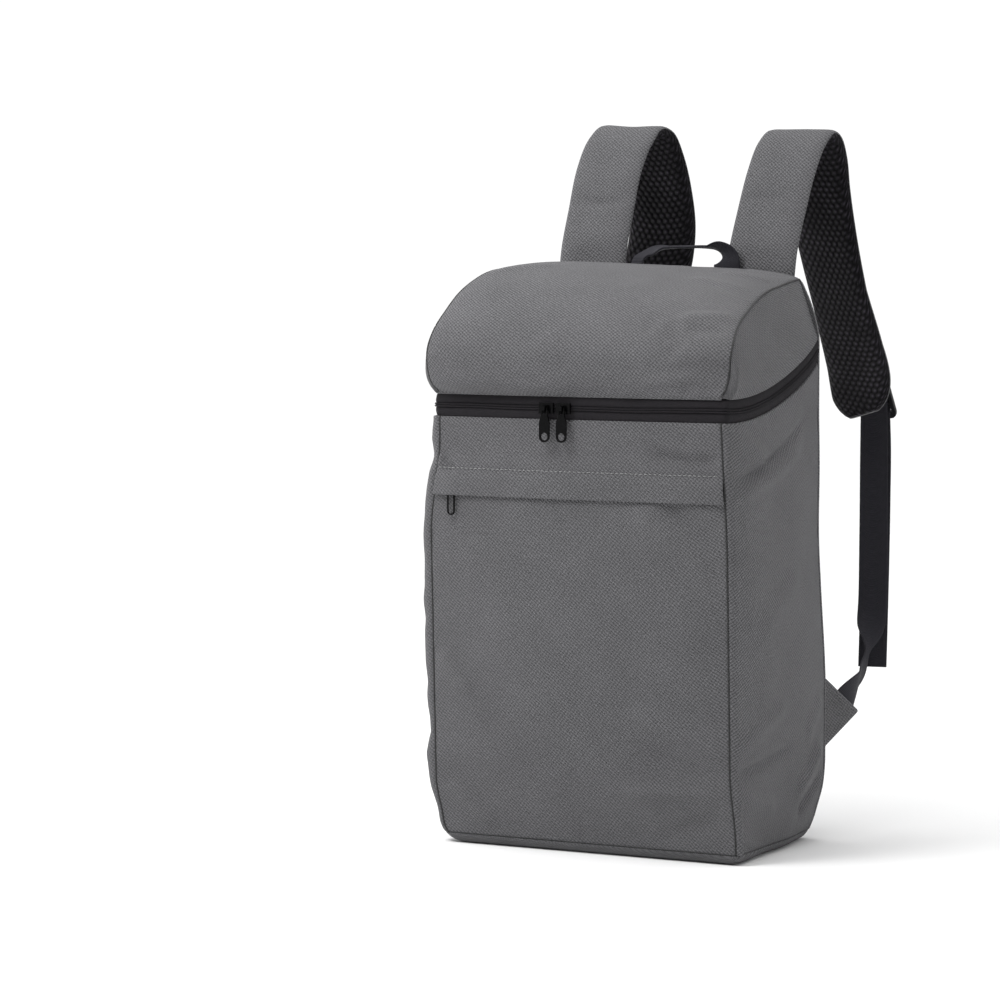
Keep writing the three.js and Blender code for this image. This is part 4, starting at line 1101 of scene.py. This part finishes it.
def band(route, spacing):
    """Points along a route, with the directions across the band and out of its outer face."""
    rows = [point for point, _ in route]
    shares = even_shares(rows, spacing)
    point = curve(rows, shares)
    along = tangent(rows, shares)
    at = shares * (len(rows) - 1)
    first = np.minimum(at.astype(int), len(rows) - 2)
    sides = np.array([side for _, side in route], float)
    across = mix(sides[first], sides[first + 1], (at - first)[:, None])
    across = unit(across - along * np.sum(across * along, axis=1, keepdims=True))
    return point, across, unit(np.cross(across, along))


def band_grid(track, across, out):
    """A grid of points from places across and out of a band's track."""
    point, side, face = track
    return point[:, None] + side[:, None] * across[..., None] + face[:, None] * out[..., None]


ROUND_SHARES = np.sin(np.linspace(-math.pi / 2, math.pi / 2, 27))


def flat_band(node, track, width, thick, spacing=2.0, waist=None):
    """A ribbed band along a track, which a waist can draw in to a share of its width."""
    across = np.tile(ROUND_SHARES * width / 2, (len(track[0]), 1))
    if waist is not None:
        across = across * waist(track[0])[:, None]
    half = thick / 2 * (1 - np.abs(ROUND_SHARES) ** 14) ** 0.5 + 0.05
    wave_out = 0.12 * soft_noise(np.arange(len(track[0]))[:, None] * spacing, across, 24, 61)
    outer, inner = band_grid(track, across, wave_out + half), band_grid(track, across, wave_out - half)
    shell(f"{node}_ribs", outer, inner, RIBBED, nodes=[node], sharp_from=80)


STRAP_TABLES = {
    "left": [
        (1.06, 0.0, 0.0, 0), (1.06, 0.028, 0.14, 0), (1.07, 0.045, 0.25, 0), (1.075, 0.09, 0.37, 0),
        (1.075, 0.22, 0.57, 0), (1.07, 0.36, 0.78, 0), (1.02, 0.49, 0.93, 0), (0.96, 0.63, 1.0, 0),
        (0.92, 0.77, 0.97, 0), (0.88, 0.88, 0.86, 0), (0.84, 0.98, 0.67, 0), (0.83, 1.03, 0.45, 2),
        (0.92, 1.02, 0.22, 6), (1.14, 0.98, 0.02, 11), (1.42, 0.91, -0.14, 15),
        (1.61, 0.83, -0.25, 17), (1.735, 0.75, -0.38, 16), (1.8, 0.7, -0.51, 15),
    ],
    "right": [
        (0.925, 0.0, 0.0, 0), (0.935, 0.028, 0.14, 0), (0.945, 0.045, 0.25, 0),
        (0.95, 0.09, 0.37, 0), (0.97, 0.22, 0.57, 0), (1.0, 0.36, 0.77, 0), (1.04, 0.49, 0.91, 0),
        (1.08, 0.63, 0.975, 1), (1.09, 0.77, 0.945, 3), (1.1, 0.87, 0.845, 5), (1.11, 0.94, 0.68, 8),
        (1.18, 0.97, 0.45, 12), (1.375, 0.95, 0.08, 20), (1.61, 0.84, -0.22, 18),
        (1.735, 0.75, -0.38, 16), (1.8, 0.7, -0.51, 15),
    ],
}
STRAP_BACK = BACK_Y + GAP + STRAP_CLOTH


def strap_route(hand, side):
    """The table's columns are shares outward, behind and up, and the yaw in degrees."""
    route = []
    for out, back, up, yaw in STRAP_TABLES[hand]:
        turn = math.radians(yaw)
        point = (side * STRAP_SPREAD * out, STRAP_BACK + STRAP_REACH * back,
                 STRAP_SEAM_Z + STRAP_RISE * up)
        route.append((point, (math.cos(turn), -side * math.sin(turn), 0)))
    return route


STRAP_STEP = 3.0
# Creases across a strap: how far along it, as a share of its length, how deep and how wide
STRAP_CREASES = {
    "left": [(0.215, -1.3, 5), (0.15, 0.7, 9), (0.11, -0.6, 6), (0.63, -0.6, 7)],
    "right": [(0.24, -0.7, 3), (0.12, -0.5, 6), (0.70, -0.5, 8)],
}


def strap_pieces(hand, side):
    track = band(strap_route(hand, side), STRAP_STEP)
    point = track[0]
    left = np.linalg.norm(point - point[-1], axis=1)
    taper = np.minimum(1, left / STRAP_END_TAPER)
    half = STRAP_WIDTH / 2 * np.sqrt(1 - 0.75 * (1 - taper) ** 2)
    run = np.linspace(0, 1, len(point))
    length = STRAP_STEP * len(point)
    shares = ROUND_SHARES[None, :]
    sway = np.zeros((len(point), len(ROUND_SHARES)))
    for at, depth, wide in STRAP_CREASES[hand]:
        bend = (run[:, None] - at) * length + 6 * shares**2 * side
        sway += depth * bell(bend, 0, wide) * (1 - 0.4 * np.abs(shares))
    sway += 0.3 * soft_noise(run[:, None] * length, shares * half[:, None], 21, 71 + side)
    ends = ease(run * length / 6) * ease((1 - run) * length / 5)
    for kind, look, reach, low, high, power in (
        ("strap", GREY, 1.0, 0.15, STRAP_CLOTH, 6),
        ("strap_pad", MESH, 0.975, -0.15, -STRAP_PAD - 0.6, 9),
    ):
        across = shares * half[:, None] * reach
        crown = (1 - np.abs(shares) ** power) ** 0.5 * (0.75 + 0.25 * ends[:, None])
        rise = low + (high - low) * crown + sway * (1 - shares**4)
        flat = np.full_like(rise, low / 3)
        rise = np.maximum(rise, 0.25) if high > 0 else np.minimum(rise, -0.25)
        piece = shell(f"{kind}_{hand}_padding", band_grid(track, across, rise),
                      band_grid(track, across, flat), look, nodes=[f"{kind}_{hand}"], sharp_from=80)
    return track


# The buckle's frame, the webbing through it and the tab at its foot, as in the part's source

TILT = math.radians(BUCKLE_TILT)
BUCKLE_DOWN = np.array([0, math.sin(TILT), -math.cos(TILT)])
BUCKLE_FACE = np.array([0, math.cos(TILT), math.sin(TILT)])
BUCKLE_WEAVE = [(0.388, -0.743), (0.379, 0), (0.418, 0.714), (0.53, 0.886), (0.642, 0.714),
                (0.682, 0), (0.727, -0.743)]
# The loaded run's rows: shares of the way up, slack outward and behind, and the way across it
LOAD_ROWS = [
    (0.066, 0.2, 0.78, (-0.36, 0.66, -0.66)),
    (0.16, 0.18, 1.5, (0.3, 0.75, -0.56)),
    (0.3, 0.07, 1.8, (0.966, 0.259, 0)),
    (0.56, 0.07, 1.15, (0.98, 0.2, 0)),
    (0.8, 0.04, 0.5, (1, 0.1, 0)),
]
UNDER_BUCKLE_DROP = 12
TAIL_TURN = 1.5
TAIL_SWING_POWER = 1.3
TAIL_SHARES = (0.14, 0.36, 0.6, 0.82, 1)
LEVEL = (1, 0, 0)


def buckle_point(side, down, out):
    start = np.array([side * BUCKLE_OUT, BACK_Y + BUCKLE_BEHIND, BUCKLE_Z])
    return start + BUCKLE_DOWN * down + BUCKLE_FACE * out


def tab_frame(side):
    turn = math.radians(TAB_TURN)
    out = np.array([side * math.cos(turn), math.sin(turn), 0])
    seam = np.array([side * (half_width(TAB_TOP) + GAP), BACK_Y + TAB_CLOTH / 4 + GAP, 0])
    return out, seam, np.array([side * math.sin(turn), -math.cos(turn), 0])


def tab_point(tab, along, z, proud):
    out, seam, face = tab
    return seam + out * along + face * proud + UP * z


def webbing_route(side):
    tab = tab_frame(side)
    edge = math.hypot(TAB_LONG, TAB_TOP - TAB_TIP_Z)
    run, fall = TAB_LONG / edge, (TAB_TOP - TAB_TIP_Z) / edge
    edge_side = (tab[0] * run - UP * fall) * side
    behind = -(TAB_CLOTH + WEBBING) / 2 - GAP

    def sewn(beyond):
        along = TAB_SEWN_AT * TAB_LONG + beyond * fall
        z = TAB_TOP - TAB_SEWN_AT * (TAB_TOP - TAB_TIP_Z) + beyond * run
        return tab_point(tab, along, z, behind)

    foot = sewn(0)
    weave = [buckle_point(side, down * BUCKLE_LONG, out * BUCKLE_THICK) for down, out in BUCKLE_WEAVE]
    under = weave[0] - UP * UNDER_BUCKLE_DROP
    route = [(sewn(-TAB_OVERLAP), edge_side), (foot, edge_side)]
    for rise, out, back, (x, y, z) in LOAD_ROWS:
        slack = np.array([side * out, back, 0]) * LOAD_SLACK
        route.append((mix(foot, under, rise) + slack, (x, side * y, side * z)))
    route.append((under, LEVEL))
    route += [(point, LEVEL) for point in weave]
    top = weave[-1]
    end = np.array([side * TAIL_OUT, BACK_Y + TAIL_BEHIND, TAIL_END_Z])
    for share in TAIL_SHARES:
        y = mix(top[1] + TAIL_TURN, end[1], share**TAIL_SWING_POWER)
        point = (mix(top[0], end[0], share), y, mix(top[2], end[2], share))
        route.append((point, (1, side * 0.2 * min(1, share * 2), 0)))
    return route


def buckle_loop_track(side, track):
    """Two straight legs from the strap's face and a turn round the buckle's first bar."""
    point, across, face = track
    fall = len(point) * 2 // 3
    k = fall + int(np.argmin(np.abs(point[fall:, 2] - BUCKLE_Z - LOOP_LONG)))
    layer = (WEBBING + GAP) / 2
    top = point[k] + across[k] * side * LOOP_SHIFT
    top = top + face[k] * (STRAP_CLOTH + LOOP_CLEAR + WEBBING / 2 + layer)
    bar = buckle_point(side, 0, 0)
    top[0] = bar[0]
    along = unit(bar - top)
    outward = unit(np.cross(np.array(LEVEL, float), along))
    points, faces = [], []

    def leg(shares, face_way):
        for share in shares:
            apart = outward * mix(layer, BUCKLE_LOOP_RADIUS, share)
            points.append(mix(top, bar, share) - apart * face_way)
            faces.append(outward * face_way)

    leg(np.linspace(0, 0.94, 9), 1)
    for angle in np.radians(np.linspace(-80, 80, 17)):
        inward = -along * math.cos(angle) - outward * math.sin(angle)
        points.append(bar - inward * BUCKLE_LOOP_RADIUS)
        faces.append(inward)
    leg(np.linspace(0.94, 0, 9), -1)
    return np.array(points), np.tile(np.array(LEVEL, float), (len(points), 1)), np.array(faces)


def tab_piece(hand, side):
    """A folded triangle of grey cloth: a grid squeezed to a point at its tip."""
    tab = tab_frame(side)
    u, v = np.meshgrid(graded(TAB_LONG, 2), graded(TAB_TOP - TAB_BOTTOM, 2))
    top, low = mix(TAB_TOP, TAB_TIP_Z + 1.2, u), mix(TAB_BOTTOM, TAB_TIP_Z - 1.2, u)
    z = mix(low, top, v)
    along = u * TAB_LONG
    edge = np.minimum.reduce([v, 1 - v]) * (top - low)
    half = TAB_CLOTH / 2 - edge_roll(edge, TAB_CLOTH / 2 - 0.2, 1.6)
    half = half - edge_roll((1 - u) * TAB_LONG, 0.4, 1.6)
    point = lambda proud: (tab[1] + tab[0] * along[..., None] + UP * z[..., None]
                           + tab[2] * proud[..., None])
    wrinkle = 0.35 * soft_noise(along, z, 13, 83)
    piece = shell(f"tab_{hand}_cloth", point(wrinkle + half), point(wrinkle - half), GREY,
                  nodes=[f"tab_{hand}"], sharp_from=80, places=np.stack([along, z], axis=-1))
    return tab


# Rows of stitches on a tab, as shares along it and up it at both ends
TAB_ROWS = [
    (0.05, 0.90, 0.86, 0.72), (0.05, 0.78, 0.80, 0.52), (0.80, 0.52, 0.38, 0.30),
]
TWIST_Z = 152
TWIST_REACH = 13
TWIST_PINCH = 0.75


def twist_waist(points):
    """The loaded run is pinched narrow where it twists, just above the tab."""
    near = bell(points[:, 2], TWIST_Z, TWIST_REACH)
    first = np.arange(len(points)) < len(points) * 0.3
    return 1 - TWIST_PINCH * near * first


def tab_stitches(hand, tab):
    shares = np.linspace(0, 1, 12)
    for number, (u0, v0, u1, v1) in enumerate(TAB_ROWS):
        u, v = mix(u0, u1, shares), mix(v0, v1, shares)
        z = mix(mix(TAB_BOTTOM, TAB_TIP_Z, u), mix(TAB_TOP, TAB_TIP_Z, u), v)
        line = np.array([tab_point(tab, a * TAB_LONG, b, TAB_CLOTH / 2 + 0.3) for a, b in zip(u, z)])
        normals = np.tile(tab[2], (12, 1))
        stitch_row(f"tab_{hand}_stitches_{number}", line, normals, 2.4, 1.2, 0.26, GREY_THREAD)


for hand, side in HANDS:
    strap_track = strap_pieces(hand, side)
    flat_band(f"webbing_{hand}", band(webbing_route(side), 2.0), WEBBING_WIDTH, WEBBING,
              waist=twist_waist)
    flat_band(f"buckle_loop_{hand}", buckle_loop_track(side, strap_track), WEBBING_WIDTH, WEBBING)
    tab_stitches(hand, tab_piece(hand, side))

# The carry handle

# Rows of the handle: shares along it, behind the back and up, and the way across the band
HANDLE_ROWS = [
    (0, 0, -0.95, (1, 0, 0)),
    (0, 0.05, -0.1, (1, 0, 0)),
    (0.02, 0.25, 0.35, (1, -0.1, -0.1)),
    (0.11, 0.8, 0.68, (0.5, -0.7, -0.5)),
    (0.3, 1, 0.9, (0, -1, 0)),
    (0.58, 1, 0.95, (0, -1, 0)),
    (0.82, 0.9, 0.88, (0.1, -1, 0.1)),
    (0.94, 0.45, 0.65, (0.5, -0.7, 0.5)),
    (0.99, 0.08, 0.3, (1, -0.1, 0.1)),
    (1, 0.03, -0.1, (1, 0, 0)),
    (1, 0, -0.95, (1, 0, 0)),
]
handle_top = float(lid_point(np.array([0.0]), np.array([1.0]))[0, 2])
handle_route = [((mix(HANDLE_LEFT_X, HANDLE_RIGHT_X, along),
                  BACK_Y + GAP + HANDLE_THICK / 2 + HANDLE_STANDOFF * behind,
                  handle_top + HANDLE_CREST * up), across) for along, behind, up, across in HANDLE_ROWS]
HANDLE_PINCH = 0.62
HANDLE_STEP = 1.5


def handle_waist(points):
    """The handle is crumpled narrow where its left end turns over."""
    return 1 - HANDLE_PINCH * bell(points[:, 0], HANDLE_LEFT_X + 5, 11)


flat_band("carry_handle", band(handle_route, HANDLE_STEP), HANDLE_WIDTH, HANDLE_THICK,
          spacing=HANDLE_STEP, waist=handle_waist)

# Floor, light and camera

CAMERA_AT = (1.5121, -3.0049, 0.5295)
CAMERA_TURN = (85.9, 0.0, 28.6)
LENS = 144
FLOOR_HALF = 30
FLOOR_COLOUR = (0.93, 0.93, 0.93, 1)
# How bright the surroundings are behind the object, on the camera's side and overhead
WALL_LIGHT = 1.04
FRONT_LIGHT = 0.30
CEILING_SHARE = 0.6


def floor_and_light():
    half = FLOOR_HALF
    mesh = bpy.data.meshes.new("floor")
    mesh.from_pydata([(-half, -half, 0), (half, -half, 0), (half, half, 0), (-half, half, 0)], [],
                     [(0, 1, 2, 3)])
    floor = bpy.data.objects.new("floor", mesh)
    material, tree, shader = new_look("pale_floor", 0.9, specular=0.1)
    shader.inputs["Base Color"].default_value = FLOOR_COLOUR
    mesh.materials.append(material)
    bpy.context.scene.collection.objects.link(floor)
    floor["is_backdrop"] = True
    world = bpy.data.worlds.new("studio")
    world.use_nodes = True
    tree = world.node_tree
    background = tree.nodes["Background"]
    background.inputs[0].default_value = (1, 1, 1, 1)
    toward = wire(tree, "ShaderNodeTexCoord", {}).outputs["Generated"]
    parts = wire(tree, "ShaderNodeSeparateXYZ", {0: toward})
    wall = remap(tree, parts.outputs[1], -0.5, 0.3, FRONT_LIGHT, WALL_LIGHT)
    ceiling = remap(tree, parts.outputs[2], 0.1, 0.7, 1, CEILING_SHARE)
    tree.links.new(times(tree, wall, ceiling), background.inputs[1])
    bpy.context.scene.world = world


def aim(light, at, target):
    light.location = at
    light.rotation_euler = (Vector(target) - Vector(at)).to_track_quat("-Z", "Y").to_euler()
    bpy.context.scene.collection.objects.link(light)


def area_light(name, at, target, size, power):
    data = bpy.data.lights.new(name, "AREA")
    data.shape = "DISK"
    data.size = size
    data.energy = power
    aim(bpy.data.objects.new(name, data), at, target)


def sun_light(name, at, target, strength, spread):
    data = bpy.data.lights.new(name, "SUN")
    data.energy = strength
    data.angle = math.radians(spread)
    aim(bpy.data.objects.new(name, data), at, target)


floor_and_light()
sun_light("overcast", (-0.4, -0.3, 3.0), (0, 0, 0), 2.05, 60)
area_light("overhead", (-0.4, -0.7, 1.25), (0, 0, 0.4), 0.5, 8.5)
area_light("left_rim", (-2.4, -0.2, 0.9), (0, 0, 0.3), 1.0, 16)

lens = bpy.data.cameras.new("camera")
lens.lens = LENS
lens.sensor_width = 36
lens.clip_end = 200
camera = bpy.data.objects.new("camera", lens)
camera.location = CAMERA_AT
camera.rotation_euler = [math.radians(angle) for angle in CAMERA_TURN]
bpy.context.scene.collection.objects.link(camera)
bpy.context.scene.camera = camera
bpy.context.scene.view_settings.view_transform = "Standard"

{"cad": CAD_BOX, "visual": [list(corner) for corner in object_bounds()]}
